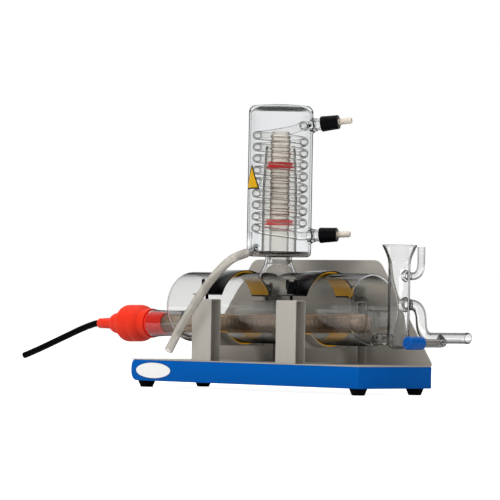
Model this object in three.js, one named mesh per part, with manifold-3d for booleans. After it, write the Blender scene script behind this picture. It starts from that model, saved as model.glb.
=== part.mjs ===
// Bench water still: a horizontal glass boiler with a sheathed heater, a coil condenser on top,
// a constant level feeder at the right end, and a folded sheet-metal stand.
// Millimetres. X runs along the base to the feeder, -Y is the front, +Z is up, the feet stand on z = 0.
// Pieces are laid out from the centre of the base; at the end the whole still is moved so that the
// origin is the middle of the front left foot's sole.
import * as THREE from 'three';
import { mergeVertices } from 'three/addons/utils/BufferGeometryUtils.js';
import Module from 'manifold-3d';

const wasm = await Module();
wasm.setup();

// ---------- driving dimensions ----------
const BASE_LENGTH = 500;
const BASE_DEPTH = 160;
const FOOT_HEIGHT = 10.2;
const FOOT_X = 232;
const FOOT_Y = 62;
const TRAY_TOP = 43;
const TRAY_WALL = 2;
const SHEET = 1.5;
const PANEL_TOP = 205;
const PANEL_INSET = 112;

const BOILER_RADIUS = 55;
const BOILER_WALL = 2.5;
const BOILER_AXIS_Z = 128;
const BOILER_LEFT = -203;
const BOILER_RIGHT = 208.5;
const BOILER_DOME = 3;
const BOILER_SHOULDER = 7;
const NECK_X = -3;
const NECK_RADIUS = 21;
const NECK_TOP = 207.7;
const NECK_BORE = 18;

const POST_X = 92.5;
const POST_WIDTH = 42.5;
const POST_INNER_Y = 57;
const POST_OUTER_Y = 78;
const POST_TOP = 140.7;
const STUD_Y = 67;

const HEATER_Z = 104.9;
const HEATER_TILT = THREE.MathUtils.degToRad(0.9);
const SHEATH_RADIUS = 15;
const SHEATH_LEFT = -302;
const SHEATH_TIP = 192;

const JACKET_RADIUS = 50;
const JACKET_WALL = 2.5;
const JACKET_BOTTOM = 208;
const JACKET_TOP = 444.5;
const COIL_RADIUS = 37;
const COIL_TUBE = 6.6;
const COIL_PITCH = 18;
const COIL_TURNS = 8;
const COIL_LEFT_TOP_Z = 396;
const RISER_RADIUS = 15;

const PORT_ANGLE = THREE.MathUtils.degToRad(28);
const UPPER_PORT = { z: 412.5, tilt: THREE.MathUtils.degToRad(7) };
const LOWER_PORT = { z: 241.2, tilt: THREE.MathUtils.degToRad(3) };

const FEEDER_X = 254;
const FEEDER_RADIUS = 16.5;
const GLASS_WALL = 2;
const VALVE_X = 284;
const VALVE_Z = 79.5;

// facet counts: large rounds, middle rounds and small rounds
const LARGE = 28;
const MIDDLE = 14;
const SMALL = 8;

// ---------- materials ----------
function paint(color, roughness, metalness) {
  return new THREE.MeshStandardMaterial({ color, roughness, metalness });
}

const blueMetal = () => paint(0x005aaa, 0.45, 0.1);
const satinSteel = () => paint(0xaaa59e, 0.4, 0.85);
const blackGloss = () => paint(0x0c0c10, 0.15, 0.1);
const blackPlastic = () => paint(0x101014, 0.5, 0);
const blackRubber = () => paint(0x16161a, 0.8, 0);
const amberLiner = () => paint(0xa0730a, 0.6, 0);
const clearGlass = () => {
  const glass = paint(0xe8eef0, 0.05, 0);
  glass.transparent = true;
  glass.opacity = 0.35;
  return glass;
};
const frostedGlass = () => paint(0xcfc4b6, 0.3, 0.1);
const redSilicone = () => paint(0xc01010, 0.45, 0);
const redCapRubber = () => paint(0xf03c23, 0.55, 0);
const beigePlastic = () => paint(0xdecdb9, 0.5, 0);
const whitePlastic = () => paint(0xf2f0ec, 0.5, 0);
const hosePlastic = () => paint(0xc9c1b4, 0.35, 0);
const blueKnob = () => paint(0x005aaf, 0.35, 0);
const yellowLabel = () => paint(0xe0a80c, 0.5, 0);
const ceramicWhite = () => paint(0xd8d0c4, 0.8, 0);
const steelWire = () => paint(0x8b8680, 0.35, 0.9);

// ---------- geometry helpers ----------
function signedVolume(position, index) {
  let volume = 0;
  const a = new THREE.Vector3();
  const b = new THREE.Vector3();
  const c = new THREE.Vector3();
  for (let i = 0; i < index.length; i += 3) {
    a.fromBufferAttribute(position, index[i]);
    b.fromBufferAttribute(position, index[i + 1]);
    c.fromBufferAttribute(position, index[i + 2]);
    volume += a.dot(b.cross(c)) / 6;
  }
  return volume;
}

// turns any closed three.js geometry into an outward-facing manifold solid
function solid(geometry) {
  const bare = geometry.clone();
  bare.deleteAttribute('normal');
  bare.deleteAttribute('uv');
  const merged = mergeVertices(bare, 1e-4);
  const source = merged.index.array;
  const kept = [];
  for (let i = 0; i < source.length; i += 3) {
    const [a, b, c] = [source[i], source[i + 1], source[i + 2]];
    if (a !== b && b !== c && c !== a) kept.push(a, b, c);
  }
  if (signedVolume(merged.attributes.position, kept) < 0) kept.reverse();
  return new wasm.Manifold(new wasm.Mesh({
    numProp: 3,
    vertProperties: Float32Array.from(merged.attributes.position.array),
    triVerts: Uint32Array.from(kept),
  }));
}

function geometryOf(body) {
  const mesh = body.getMesh();
  const geometry = new THREE.BufferGeometry();
  geometry.setAttribute('position', new THREE.BufferAttribute(mesh.vertProperties, 3));
  geometry.setIndex(new THREE.BufferAttribute(mesh.triVerts, 1));
  geometry.computeVertexNormals();
  return geometry;
}

function union(bodies) {
  return bodies.reduce((sum, body) => sum.add(body));
}

// revolves an [r, z] outline about the Z axis; the outline starts and ends on the axis or closes on itself
function revolve(outline, sides = MIDDLE) {
  const points = outline.map(([r, z]) => new THREE.Vector2(r, z));
  return new THREE.LatheGeometry(points, sides).rotateX(Math.PI / 2);
}

// closed ring outline between two radii and two heights
function ringOutline(inner, outer, low, high) {
  return [[inner, low], [outer, low], [outer, high], [inner, high], [inner, low]];
}

function ring(inner, outer, low, high, sides = MIDDLE) {
  return revolve(ringOutline(inner, outer, low, high), sides);
}

function rod(radius, low, high, sides = MIDDLE) {
  return revolve([[0, low], [radius, low], [radius, high], [0, high]], sides);
}

// tilts geometry built along Z so that it runs along +X
function alongX(geometry) {
  return geometry.rotateY(Math.PI / 2);
}

// tilts geometry built along Z so that it runs along +Y
function alongY(geometry) {
  return geometry.rotateX(-Math.PI / 2);
}

function circle(radius) {
  return new THREE.Shape().absarc(0, 0, radius, 0, 2 * Math.PI, false);
}

// round bar, or a pipe when an inner radius is given, along a curve
function bar(curve, radius, steps, sides = SMALL, innerRadius = 0) {
  const section = circle(radius);
  if (innerRadius > 0) {
    section.holes.push(new THREE.Path().absarc(0, 0, innerRadius, 0, 2 * Math.PI, true));
  }
  return new THREE.ExtrudeGeometry(section, {
    steps,
    curveSegments: sides / 2,
    bevelEnabled: false,
    extrudePath: curve,
  });
}

// straight legs joined by smooth bends of the given size
function bentPath(corners, bend) {
  const points = corners.map((p) => new THREE.Vector3(...p));
  const path = new THREE.CurvePath();
  let start = points[0];
  for (let i = 1; i < points.length - 1; i += 1) {
    const corner = points[i];
    const arrive = corner.clone().add(points[i - 1].clone().sub(corner).setLength(bend));
    const leave = corner.clone().add(points[i + 1].clone().sub(corner).setLength(bend));
    path.add(new THREE.LineCurve3(start, arrive));
    path.add(new THREE.QuadraticBezierCurve3(arrive, corner, leave));
    start = leave;
  }
  path.add(new THREE.LineCurve3(start, points[points.length - 1]));
  return path;
}

// arc of an outline about [radius, height]: 0 degrees points outwards and 90 degrees up the height
function outlineArc(centre, across, along, fromDegrees, toDegrees, count) {
  return Array.from({ length: count + 1 }, (_, i) => {
    const angle = THREE.MathUtils.degToRad(fromDegrees + ((toDegrees - fromDegrees) * i) / count);
    return [centre[0] + across * Math.cos(angle), centre[1] + along * Math.sin(angle)];
  });
}

// extrudes a Y-Z outline along X, centred on x = 0
function slabAcrossX(shape, width, curveSegments = 4) {
  const geometry = new THREE.ExtrudeGeometry(shape, { depth: width, curveSegments, bevelEnabled: false });
  geometry.rotateX(Math.PI / 2).rotateZ(Math.PI / 2);
  return geometry.translate(-width / 2, 0, 0);
}

function polygon(points) {
  return new THREE.Shape(points.map(([u, v]) => new THREE.Vector2(u, v)));
}

// points on an arc about (0, centreZ), angles in degrees counted from +Y towards +Z
function arcPoints(radius, fromDegrees, toDegrees, count, centreZ = BOILER_AXIS_Z) {
  const points = [];
  for (let i = 0; i <= count; i += 1) {
    const angle = THREE.MathUtils.degToRad(fromDegrees + ((toDegrees - fromDegrees) * i) / count);
    points.push([radius * Math.cos(angle), centreZ + radius * Math.sin(angle)]);
  }
  return points;
}

const group = new THREE.Group();

function place(name, geometry, material, x = 0, y = 0, z = 0, parent = group) {
  const mesh = new THREE.Mesh(geometry, material);
  mesh.name = name;
  mesh.position.set(x, y, z);
  parent.add(mesh);
  return mesh;
}

// ---------- base tray, deck, feet ----------
const corners = [['front_left', -1, -1], ['front_right', 1, -1], ['rear_left', -1, 1], ['rear_right', 1, 1]];

function roundedRectangle(length, depth, radius) {
  const [hx, hy] = [length / 2, depth / 2];
  const shape = new THREE.Shape();
  shape.moveTo(-hx + radius, -hy);
  shape.lineTo(hx - radius, -hy);
  shape.absarc(hx - radius, -hy + radius, radius, -Math.PI / 2, 0, false);
  shape.lineTo(hx, hy - radius);
  shape.absarc(hx - radius, hy - radius, radius, 0, Math.PI / 2, false);
  shape.lineTo(-hx + radius, hy);
  shape.absarc(-hx + radius, hy - radius, radius, Math.PI / 2, Math.PI, false);
  shape.lineTo(-hx, -hy + radius);
  shape.absarc(-hx + radius, -hy + radius, radius, Math.PI, 1.5 * Math.PI, false);
  return shape;
}

function plate(shape, low, high) {
  const geometry = new THREE.ExtrudeGeometry(shape, {
    depth: high - low,
    curveSegments: 4,
    bevelEnabled: false,
  });
  return geometry.translate(0, 0, low);
}

const SCREW_HOLE = 2.3;

function baseTray() {
  let tray = solid(plate(roundedRectangle(BASE_LENGTH, BASE_DEPTH, 5), FOOT_HEIGHT, TRAY_TOP));
  const hollow = roundedRectangle(BASE_LENGTH - 2 * TRAY_WALL, BASE_DEPTH - 2 * TRAY_WALL, 3);
  tray = tray.subtract(solid(plate(hollow, FOOT_HEIGHT + TRAY_WALL, TRAY_TOP + 5)));
  for (const [, sx, sy] of corners) {
    const hole = rod(SCREW_HOLE, 0, TRAY_TOP, SMALL).translate(sx * FOOT_X, sy * FOOT_Y, 0);
    tray = tray.subtract(solid(hole));
  }
  return geometryOf(tray);
}

// one folded sheet: the deck lies on the tray and turns up at the rear into a panel with sloping ends
function deckAndPanel() {
  const bend = 2;
  const rear = BASE_DEPTH / 2;
  const fold = new THREE.Shape();
  fold.moveTo(-rear, TRAY_TOP);
  fold.lineTo(rear - bend, TRAY_TOP);
  fold.absarc(rear - bend, TRAY_TOP + bend, bend, -Math.PI / 2, 0, false);
  fold.lineTo(rear, PANEL_TOP);
  fold.lineTo(rear - SHEET, PANEL_TOP);
  fold.lineTo(rear - SHEET, TRAY_TOP + bend);
  fold.absarc(rear - bend, TRAY_TOP + bend, bend - SHEET, 0, -Math.PI / 2, true);
  fold.lineTo(-rear, TRAY_TOP + SHEET);
  const sheet = solid(slabAcrossX(fold, BASE_LENGTH));

  const half = BASE_LENGTH / 2;
  const topHalf = half - PANEL_INSET;
  const slopeStart = TRAY_TOP + 3 * bend;
  const round = 12;
  const outline = new THREE.Shape();
  outline.moveTo(-half, TRAY_TOP - 1);
  outline.lineTo(half, TRAY_TOP - 1);
  outline.lineTo(half, slopeStart);
  outline.lineTo(topHalf + round * 0.57, PANEL_TOP - round * 0.82);
  outline.quadraticCurveTo(topHalf, PANEL_TOP, topHalf - round, PANEL_TOP);
  outline.lineTo(-topHalf + round, PANEL_TOP);
  outline.quadraticCurveTo(-topHalf, PANEL_TOP, -topHalf - round * 0.57, PANEL_TOP - round * 0.82);
  outline.lineTo(-half, slopeStart);
  const cutter = new THREE.ExtrudeGeometry(outline, {
    depth: BASE_DEPTH + 10,
    curveSegments: 5,
    bevelEnabled: false,
  });
  cutter.rotateX(Math.PI / 2).translate(0, rear + 5, 0);
  return geometryOf(sheet.intersect(solid(cutter)));
}

place('base_tray', baseTray(), blueMetal());
place('deck_and_back_panel', deckAndPanel(), satinSteel());

// tapered foot with a blind hole for the screw that comes down through the tray floor
const FOOT_SOLE_RADIUS = 9.8;
const FOOT_TOP_RADIUS = 13.7;
const FOOT_HOLE_LOW = 4;
const FOOT_OUTLINE = [
  [0, 0], [FOOT_SOLE_RADIUS, 0], [FOOT_TOP_RADIUS, FOOT_HEIGHT], [SCREW_HOLE, FOOT_HEIGHT],
  [SCREW_HOLE, FOOT_HOLE_LOW], [0, FOOT_HOLE_LOW],
];
const HEAD_LOW = FOOT_HEIGHT + TRAY_WALL + 0.1;
const SCREW_OUTLINE = [
  [0, FOOT_HOLE_LOW + 0.6], [2, FOOT_HOLE_LOW + 0.6], [2, HEAD_LOW], [4, HEAD_LOW], [4, HEAD_LOW + 1.8],
  [3.2, HEAD_LOW + 2.6], [0, HEAD_LOW + 2.6],
];
for (const [where, sx, sy] of corners) {
  place(`foot_${where}`, revolve(FOOT_OUTLINE), blackRubber(), sx * FOOT_X, sy * FOOT_Y);
  place(`foot_screw_${where}`, revolve(SCREW_OUTLINE, SMALL), steelWire(), sx * FOOT_X, sy * FOOT_Y);
}

// plain oval plate on the front of the tray, without any lettering
const BADGE = { x: -198, z: 26.8, halfLength: 40.3, halfHeight: 13.2 };
function ovalBadge() {
  const { halfLength, halfHeight } = BADGE;
  const shape = new THREE.Shape().absellipse(0, 0, halfLength, halfHeight, 0, 2 * Math.PI, false, 0);
  return new THREE.ExtrudeGeometry(shape, { depth: 0.6, curveSegments: 12, bevelEnabled: false })
    .rotateX(Math.PI / 2);
}
place('oval_badge', ovalBadge(), whitePlastic(), BADGE.x, -BASE_DEPTH / 2 - 0.1, BADGE.z);

// ---------- posts, saddles, straps ----------
const STUD_RADIUS = 2.5;
const STRAP_INNER = BOILER_RADIUS + 2.6;
const TAB_LOW = 147.3;
const TAB_HIGH = TAB_LOW + SHEET;

// folded sheet upside-down U, open towards +X and -X; the outer leg is on the -Y side
function post() {
  const bend = 3;
  const [outer, inner] = [-POST_OUTER_Y, -POST_INNER_Y];
  const foot = TRAY_TOP + SHEET;
  const shape = new THREE.Shape();
  shape.moveTo(outer, foot);
  shape.lineTo(outer + SHEET, foot);
  shape.lineTo(outer + SHEET, POST_TOP - bend);
  shape.absarc(outer + bend, POST_TOP - bend, bend - SHEET, Math.PI, Math.PI / 2, true);
  shape.lineTo(inner - bend, POST_TOP - SHEET);
  shape.absarc(inner - bend, POST_TOP - bend, bend - SHEET, Math.PI / 2, 0, true);
  shape.lineTo(inner - SHEET, foot);
  shape.lineTo(inner, foot);
  shape.lineTo(inner, POST_TOP - bend);
  shape.absarc(inner - bend, POST_TOP - bend, bend, 0, Math.PI / 2, false);
  shape.lineTo(outer + bend, POST_TOP);
  shape.absarc(outer + bend, POST_TOP - bend, bend, Math.PI / 2, Math.PI, false);
  const hole = rod(STUD_RADIUS + 0.3, POST_TOP - 5, POST_TOP + 5, SMALL).translate(0, -STUD_Y, 0);
  return geometryOf(solid(slabAcrossX(shape, POST_WIDTH)).subtract(solid(hole)));
}

// curved strip under the boiler on an upright rib that joins the front and rear posts
const SADDLE_INNER = BOILER_RADIUS + 2.4;
const SADDLE_HALF_ANGLE = 48;
const SADDLE_FACETS = 16;

function saddle() {
  const from = -90 - SADDLE_HALF_ANGLE;
  const to = -90 + SADDLE_HALF_ANGLE;
  const outerArc = arcPoints(SADDLE_INNER + SHEET, from, to, SADDLE_FACETS);
  const innerArc = arcPoints(SADDLE_INNER, to, from, SADDLE_FACETS);
  const strip = slabAcrossX(polygon([...outerArc, ...innerArc]), POST_WIDTH);
  const low = BOILER_AXIS_Z - SADDLE_INNER - SHEET - 0.6;
  const high = BOILER_AXIS_Z - SADDLE_INNER * Math.cos(THREE.MathUtils.degToRad(SADDLE_HALF_ANGLE));
  const ribArc = arcPoints(SADDLE_INNER + SHEET / 2, to, from, SADDLE_FACETS);
  const rib = slabAcrossX(polygon([
    [-POST_INNER_Y, low], [POST_INNER_Y, low], [POST_INNER_Y, high], ...ribArc, [-POST_INNER_Y, high],
  ]), 2 * SHEET);
  return geometryOf(solid(strip).add(solid(rib)));
}

function saddlePad() {
  const from = -90 - SADDLE_HALF_ANGLE;
  const to = -90 + SADDLE_HALF_ANGLE;
  const outerArc = arcPoints(SADDLE_INNER - 0.3, from, to, SADDLE_FACETS);
  const innerArc = arcPoints(BOILER_RADIUS + 0.4, to, from, SADDLE_FACETS);
  return slabAcrossX(polygon([...outerArc, ...innerArc]), POST_WIDTH);
}

// band over the boiler with a flat tab at each end for the studs
function strap() {
  const outer = STRAP_INNER + SHEET;
  const outerStart = THREE.MathUtils.radToDeg(Math.asin((TAB_HIGH - BOILER_AXIS_Z) / outer));
  const innerStart = THREE.MathUtils.radToDeg(Math.asin((TAB_LOW - BOILER_AXIS_Z) / STRAP_INNER));
  const tabEnd = POST_OUTER_Y - 0.8;
  const shape = polygon([
    [tabEnd, TAB_LOW], [tabEnd, TAB_HIGH],
    ...arcPoints(outer, outerStart, 180 - outerStart, 20),
    [-tabEnd, TAB_HIGH], [-tabEnd, TAB_LOW],
    ...arcPoints(STRAP_INNER, 180 - innerStart, innerStart, 20),
  ]);
  let band = solid(slabAcrossX(shape, POST_WIDTH));
  for (const side of [-1, 1]) {
    const hole = rod(STUD_RADIUS + 0.3, TAB_LOW - 5, TAB_HIGH + 5, SMALL).translate(0, side * STUD_Y, 0);
    band = band.subtract(solid(hole));
  }
  return geometryOf(band);
}

function strapLiner() {
  const outerArc = arcPoints(STRAP_INNER - 0.3, 23, 157, 20);
  const innerArc = arcPoints(BOILER_RADIUS + 0.4, 157, 23, 20);
  return slabAcrossX(polygon([...outerArc, ...innerArc]), POST_WIDTH);
}

for (const [side, sx] of [['left', -1], ['right', 1]]) {
  place(`saddle_${side}`, saddle(), satinSteel(), sx * POST_X);
  place(`saddle_pad_${side}`, saddlePad(), amberLiner(), sx * POST_X);
  place(`strap_${side}`, strap(), blackGloss(), sx * POST_X);
  place(`strap_liner_${side}`, strapLiner(), amberLiner(), sx * POST_X);
}

const WASHER_THICK = 1;
const STUD_TOP = 167;
const STUD_OUTLINE = [
  [0, POST_TOP - 5.2], [4.6, POST_TOP - 5.2], [4.6, POST_TOP - SHEET - 0.1],
  [STUD_RADIUS, POST_TOP - SHEET - 0.1],
  [STUD_RADIUS, STUD_TOP], [0, STUD_TOP],
];

// round hub with two flat wings
const WING_REACH = 11;
const WING_STEP = 7;

function wingNut() {
  const low = TAB_HIGH + WASHER_THICK + 0.2;
  const hub = solid(revolve([
    [STUD_RADIUS + 0.3, low], [7, low], [7, low + 9], [5.5, low + 19], [STUD_RADIUS + 0.3, low + 19],
    [STUD_RADIUS + 0.3, low],
  ], SMALL));
  const wings = polygon([
    [-WING_REACH, low + 8], [-WING_STEP, low + 5], [WING_STEP, low + 5], [WING_REACH, low + 8],
    [WING_REACH, low + 21], [WING_STEP, low + 22.5], [4, low + 14], [-4, low + 14],
    [-WING_STEP, low + 22.5], [-WING_REACH, low + 21],
  ]);
  const blade = solid(slabAcrossX(wings, 4));
  const bore = solid(rod(STUD_RADIUS + 0.3, low - 1, low + 30, SMALL));
  return geometryOf(hub.add(blade).subtract(bore));
}

for (const [where, sx, sy] of corners) {
  const pivot = new THREE.Group();
  pivot.position.set(sx * POST_X, 0, 0);
  if (sy > 0) pivot.rotation.z = Math.PI;
  group.add(pivot);
  place(`post_${where}`, post(), satinSteel(), 0, 0, 0, pivot);
  place(`strap_stud_${where}`, revolve(STUD_OUTLINE, SMALL), blackPlastic(), 0, -STUD_Y, 0, pivot);
  const washer = ring(STUD_RADIUS + 0.3, 6, TAB_HIGH + 0.1, TAB_HIGH + 0.1 + WASHER_THICK, SMALL);
  place(`strap_washer_${where}`, washer,
    steelWire(), 0, -STUD_Y, 0, pivot);
  const nut = place(`wing_nut_${where}`, wingNut(), blackPlastic(), 0, -STUD_Y, 0, pivot);
  nut.rotation.z = Math.PI / 2;
}

// ---------- boiler ----------
const HEATER_NECK_END = -283;
const FEED_PORT_Z = 84;
const FEED_PORT_RADIUS = 8;
const FEED_SEAM_X = 228;

const ROUND_STEPS = 2;

// end-rounded cylinder outline in [r, x]
function drumOutline(radius, left, right, shoulder) {
  const rounding = [];
  for (let i = 0; i <= ROUND_STEPS; i += 1) {
    const angle = (Math.PI / 2) * (i / ROUND_STEPS);
    const inward = BOILER_DOME + shoulder * (1 - Math.cos(angle));
    rounding.push([radius - shoulder + shoulder * Math.sin(angle), inward]);
  }
  const leftEnd = rounding.map(([r, inward]) => [r, left + inward]);
  const rightEnd = rounding.map(([r, inward]) => [r, right - inward]).reverse();
  return [[0, left], ...leftEnd, ...rightEnd, [0, right]];
}

// places geometry built along the heater's own axis, which drops a little towards the neck
const heaterFrame = new THREE.Group();
heaterFrame.position.set(0, 0, HEATER_Z);
heaterFrame.rotation.y = -HEATER_TILT;
heaterFrame.updateMatrix();
group.add(heaterFrame);

function boilerVessel() {
  const [outerDrum, innerDrum] = [0, BOILER_WALL].map((inset) => alongX(revolve(drumOutline(
    BOILER_RADIUS - inset, BOILER_LEFT + inset, BOILER_RIGHT - inset, BOILER_SHOULDER - inset,
  ), LARGE)).translate(0, 0, BOILER_AXIS_Z));
  const neck = revolve([
    [0, 165], [33, 165], [31, 179], [26, 187], [22.5, 195], [NECK_RADIUS, 202], [NECK_RADIUS, NECK_TOP],
    [0, NECK_TOP],
  ]).translate(NECK_X, 0, 0);
  const neckBore = revolve([
    [0, 160], [29, 160], [28, 178], [23, 187], [19.5, 195], [NECK_BORE, 201], [NECK_BORE, NECK_TOP + 4],
    [0, NECK_TOP + 4],
  ]).translate(NECK_X, 0, 0);
  const sideNeck = alongX(revolve([
    [0, HEATER_NECK_END], [22.2, HEATER_NECK_END], [22.2, HEATER_NECK_END + 4], [21.8, HEATER_NECK_END + 6],
    [20.6, -250], [20.3, -214], [22, -206], [24, -200], [0, -193],
  ])).applyMatrix4(heaterFrame.matrix);
  const sideBore = alongX(revolve([
    [0, HEATER_NECK_END - 5], [20.5, HEATER_NECK_END - 5], [18, -249], [17.8, -214], [20, -203], [21, -188],
    [0, -188],
  ])).applyMatrix4(heaterFrame.matrix);
  const feedPort = alongX(revolve([
    [0, 190], [10.5, 190], [10.5, 207], [FEED_PORT_RADIUS, 214], [FEED_PORT_RADIUS, FEED_SEAM_X],
    [0, FEED_SEAM_X],
  ], SMALL)).translate(0, 0, FEED_PORT_Z);
  const feedBore = alongX(rod(FEED_PORT_RADIUS - GLASS_WALL, 185, FEED_SEAM_X + 5, SMALL))
    .translate(0, 0, FEED_PORT_Z);
  const outside = union([outerDrum, neck, sideNeck, feedPort].map(solid));
  const inside = union([innerDrum, neckBore, sideBore, feedBore].map(solid));
  return geometryOf(outside.subtract(inside));
}
place('boiler_vessel', boilerVessel(), clearGlass());

// ---------- constant level feeder ----------
const FEEDER_RIM = 226.6;
const INLET_Z = 180;
const OVERFLOW_Z = 137;
const WASTE_Z = 87;
const ARM_Y = 48;
const INLET_TOP = 224.5;
const WASTE_END = 156;
const BARREL_FRONT = 12;
const INLET_RADIUS = 6.25;
const WASTE_RADIUS = 8.7;
const BARREL_RADIUS = 6.5;
const LINK_RADIUS = 5.5;

// the feeder's side tubes; open ends run on by the given amount so that a bore can cut through them
function feederTubes(inset, overrun) {
  const valveX = VALVE_X - FEEDER_X;
  const inlet = bentPath([[0, 6, INLET_Z], [0, ARM_Y, INLET_Z], [0, ARM_Y, INLET_TOP + overrun]], 20);
  const overflow = bentPath([
    [0, 6, OVERFLOW_Z], [0, ARM_Y, OVERFLOW_Z], [0, ARM_Y + 4, WASTE_Z], [0, WASTE_END + overrun, WASTE_Z],
  ], 22);
  const drain = bentPath([[valveX, BARREL_FRONT, VALVE_Z], [valveX, 68, VALVE_Z], [3, 88, WASTE_Z]], 9);
  const link = bentPath([[1, 4, VALVE_Z + 1], [3, 32, VALVE_Z], [valveX, 47, VALVE_Z]], 10);
  return [
    bar(inlet, INLET_RADIUS - inset, 9),
    bar(overflow, WASTE_RADIUS - inset, 14, 10),
    bar(drain, BARREL_RADIUS - inset, 7),
    bar(link, LINK_RADIUS - inset, 5),
  ];
}

function levelFeeder() {
  const column = revolve([
    [0, 70], [9, 71], [15, 75], [FEEDER_RADIUS, 81], [FEEDER_RADIUS, FEEDER_RIM - 28],
    [18.5, FEEDER_RIM - 19], [22.5, FEEDER_RIM - 9], [26.5, FEEDER_RIM], [0, FEEDER_RIM],
  ]);
  const columnBore = revolve([
    [0, 72], [8, 73], [13, 77], [FEEDER_RADIUS - GLASS_WALL, 82],
    [FEEDER_RADIUS - GLASS_WALL, FEEDER_RIM - 27], [16.5, FEEDER_RIM - 18], [20.5, FEEDER_RIM - 8],
    [25.2, FEEDER_RIM + 2], [0, FEEDER_RIM + 2],
  ]);
  const feedX = FEED_SEAM_X + 0.3 - FEEDER_X;
  const stub = alongX(rod(FEED_PORT_RADIUS, feedX, -8, SMALL)).translate(0, 0, FEED_PORT_Z);
  const stubBore = alongX(rod(FEED_PORT_RADIUS - GLASS_WALL, feedX - 5, -6, SMALL))
    .translate(0, 0, FEED_PORT_Z);
  const valveMouth = alongY(rod(BARREL_RADIUS - GLASS_WALL, BARREL_FRONT - 5, BARREL_FRONT + 8, SMALL))
    .translate(VALVE_X - FEEDER_X, 0, VALVE_Z);
  const outside = union([column, stub, ...feederTubes(0, 0)].map(solid));
  const inside = union([columnBore, stubBore, valveMouth, ...feederTubes(GLASS_WALL, 5)].map(solid));
  return geometryOf(outside.subtract(inside));
}
place('level_feeder', levelFeeder(), clearGlass(), FEEDER_X);

// ---------- drain valve: screw spindle and its knob, both on an axis along Y ----------
const KNOB_FRONT = -13;
const KNOB_REAR = 21;
const KNOB_WEB_REAR = 6;
const KNOB_RADIUS = 10;
const SPINDLE_RADIUS = 4;

function drainSpindle() {
  return alongY(revolve([
    [0, KNOB_FRONT - 1], [SPINDLE_RADIUS, KNOB_FRONT - 1], [SPINDLE_RADIUS, 53], [2.2, 58], [0, 58],
  ], SMALL));
}

function drainKnob() {
  return alongY(revolve([
    [SPINDLE_RADIUS + 0.3, KNOB_FRONT], [6.5, KNOB_FRONT], [KNOB_RADIUS, KNOB_FRONT + 6],
    [KNOB_RADIUS, KNOB_REAR - 5], [8.6, KNOB_REAR], [7.2, KNOB_REAR], [7.2, KNOB_WEB_REAR],
    [SPINDLE_RADIUS + 0.3, KNOB_WEB_REAR], [SPINDLE_RADIUS + 0.3, KNOB_FRONT],
  ]));
}
place('drain_spindle', drainSpindle(), beigePlastic(), VALVE_X, 0, VALVE_Z);
place('drain_knob', drainKnob(), blueKnob(), VALVE_X, 0, VALVE_Z);

// ---------- condenser ----------
// everything that lifts off with the condenser is laid out about the condenser's own axis
const condenser = new THREE.Group();
condenser.position.x = NECK_X;
group.add(condenser);

// frame at a water port: local Z points out along the port, local origin on the condenser axis
function portFrame(port) {
  const frame = new THREE.Group();
  frame.rotation.set(0, Math.PI / 2 - port.tilt, PORT_ANGLE, 'ZYX');
  const reach = JACKET_RADIUS / Math.cos(port.tilt);
  frame.position.set(0, 0, port.z - reach * Math.sin(port.tilt));
  frame.updateMatrix();
  return frame;
}
const upperFrame = portFrame(UPPER_PORT);
const lowerFrame = portFrame(LOWER_PORT);
condenser.add(upperFrame, lowerFrame);

const ARM_ROOT = new THREE.Vector3(0, -44, 220);
const ARM_TIP = new THREE.Vector3(0, -88, 207.4);
const ARM_RADIUS = 5.2;
const STUB_RADIUS = 9.4;
const STUB_BORE = 7.7;

// [r, z] outline of the jacket, moved in by an offset for its inner face
function jacketOutline(offset) {
  const outer = JACKET_RADIUS - offset;
  return [
    [0, JACKET_BOTTOM + offset], [outer - 7, JACKET_BOTTOM + offset], [outer - 2, JACKET_BOTTOM + 2 + offset],
    [outer, JACKET_BOTTOM + 7 + offset], [outer, JACKET_TOP - 14 - offset],
    [outer - 1.5, JACKET_TOP - 8 - offset],
    [outer - 5, JACKET_TOP - 4 - offset], [outer - 12, JACKET_TOP - 1.6 - offset], [0, JACKET_TOP - offset],
  ];
}

function condenserJacket() {
  const shell = revolve(jacketOutline(0), LARGE);
  const hollow = revolve(jacketOutline(JACKET_WALL), LARGE);
  const tail = rod(17.2, 197, JACKET_BOTTOM + 1);
  const tailBore = rod(RISER_RADIUS + 0.4, 190, JACKET_BOTTOM + 6);
  const stubs = [];
  const bores = [];
  for (const frame of [upperFrame, lowerFrame]) {
    const stub = revolve([[0, 44], [13.5, 44], [12.5, 52], [STUB_RADIUS, 59], [STUB_RADIUS, 86], [0, 86]]);
    stubs.push(stub.applyMatrix4(frame.matrix));
    bores.push(rod(STUB_BORE, 40, 90).applyMatrix4(frame.matrix));
  }
  const armLine = new THREE.LineCurve3(ARM_ROOT, ARM_TIP);
  const direction = ARM_TIP.clone().sub(ARM_ROOT).normalize();
  const pastTip = new THREE.LineCurve3(ARM_ROOT.clone(), ARM_TIP.clone().addScaledVector(direction, 5));
  const arm = bar(armLine, ARM_RADIUS, 1);
  const armBore = bar(pastTip, ARM_RADIUS - GLASS_WALL, 1);
  const rootFlare = bar(new THREE.LineCurve3(
    new THREE.Vector3(0, -44, 220), ARM_ROOT.clone().addScaledVector(direction, 9),
  ), 8, 1);
  const vent = rod(4, 212, 245, SMALL).translate(0, -64, 0);
  const ventBore = rod(2.4, 213.5, 250, SMALL).translate(0, -64, 0);
  const outside = union([shell, tail, ...stubs, arm, rootFlare, vent].map(solid));
  const inside = union([hollow, tailBore, ...bores, armBore, ventBore].map(solid));
  return geometryOf(outside.subtract(inside));
}
place('condenser_jacket', condenserJacket(), clearGlass(), 0, 0, 0, condenser);

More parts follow.
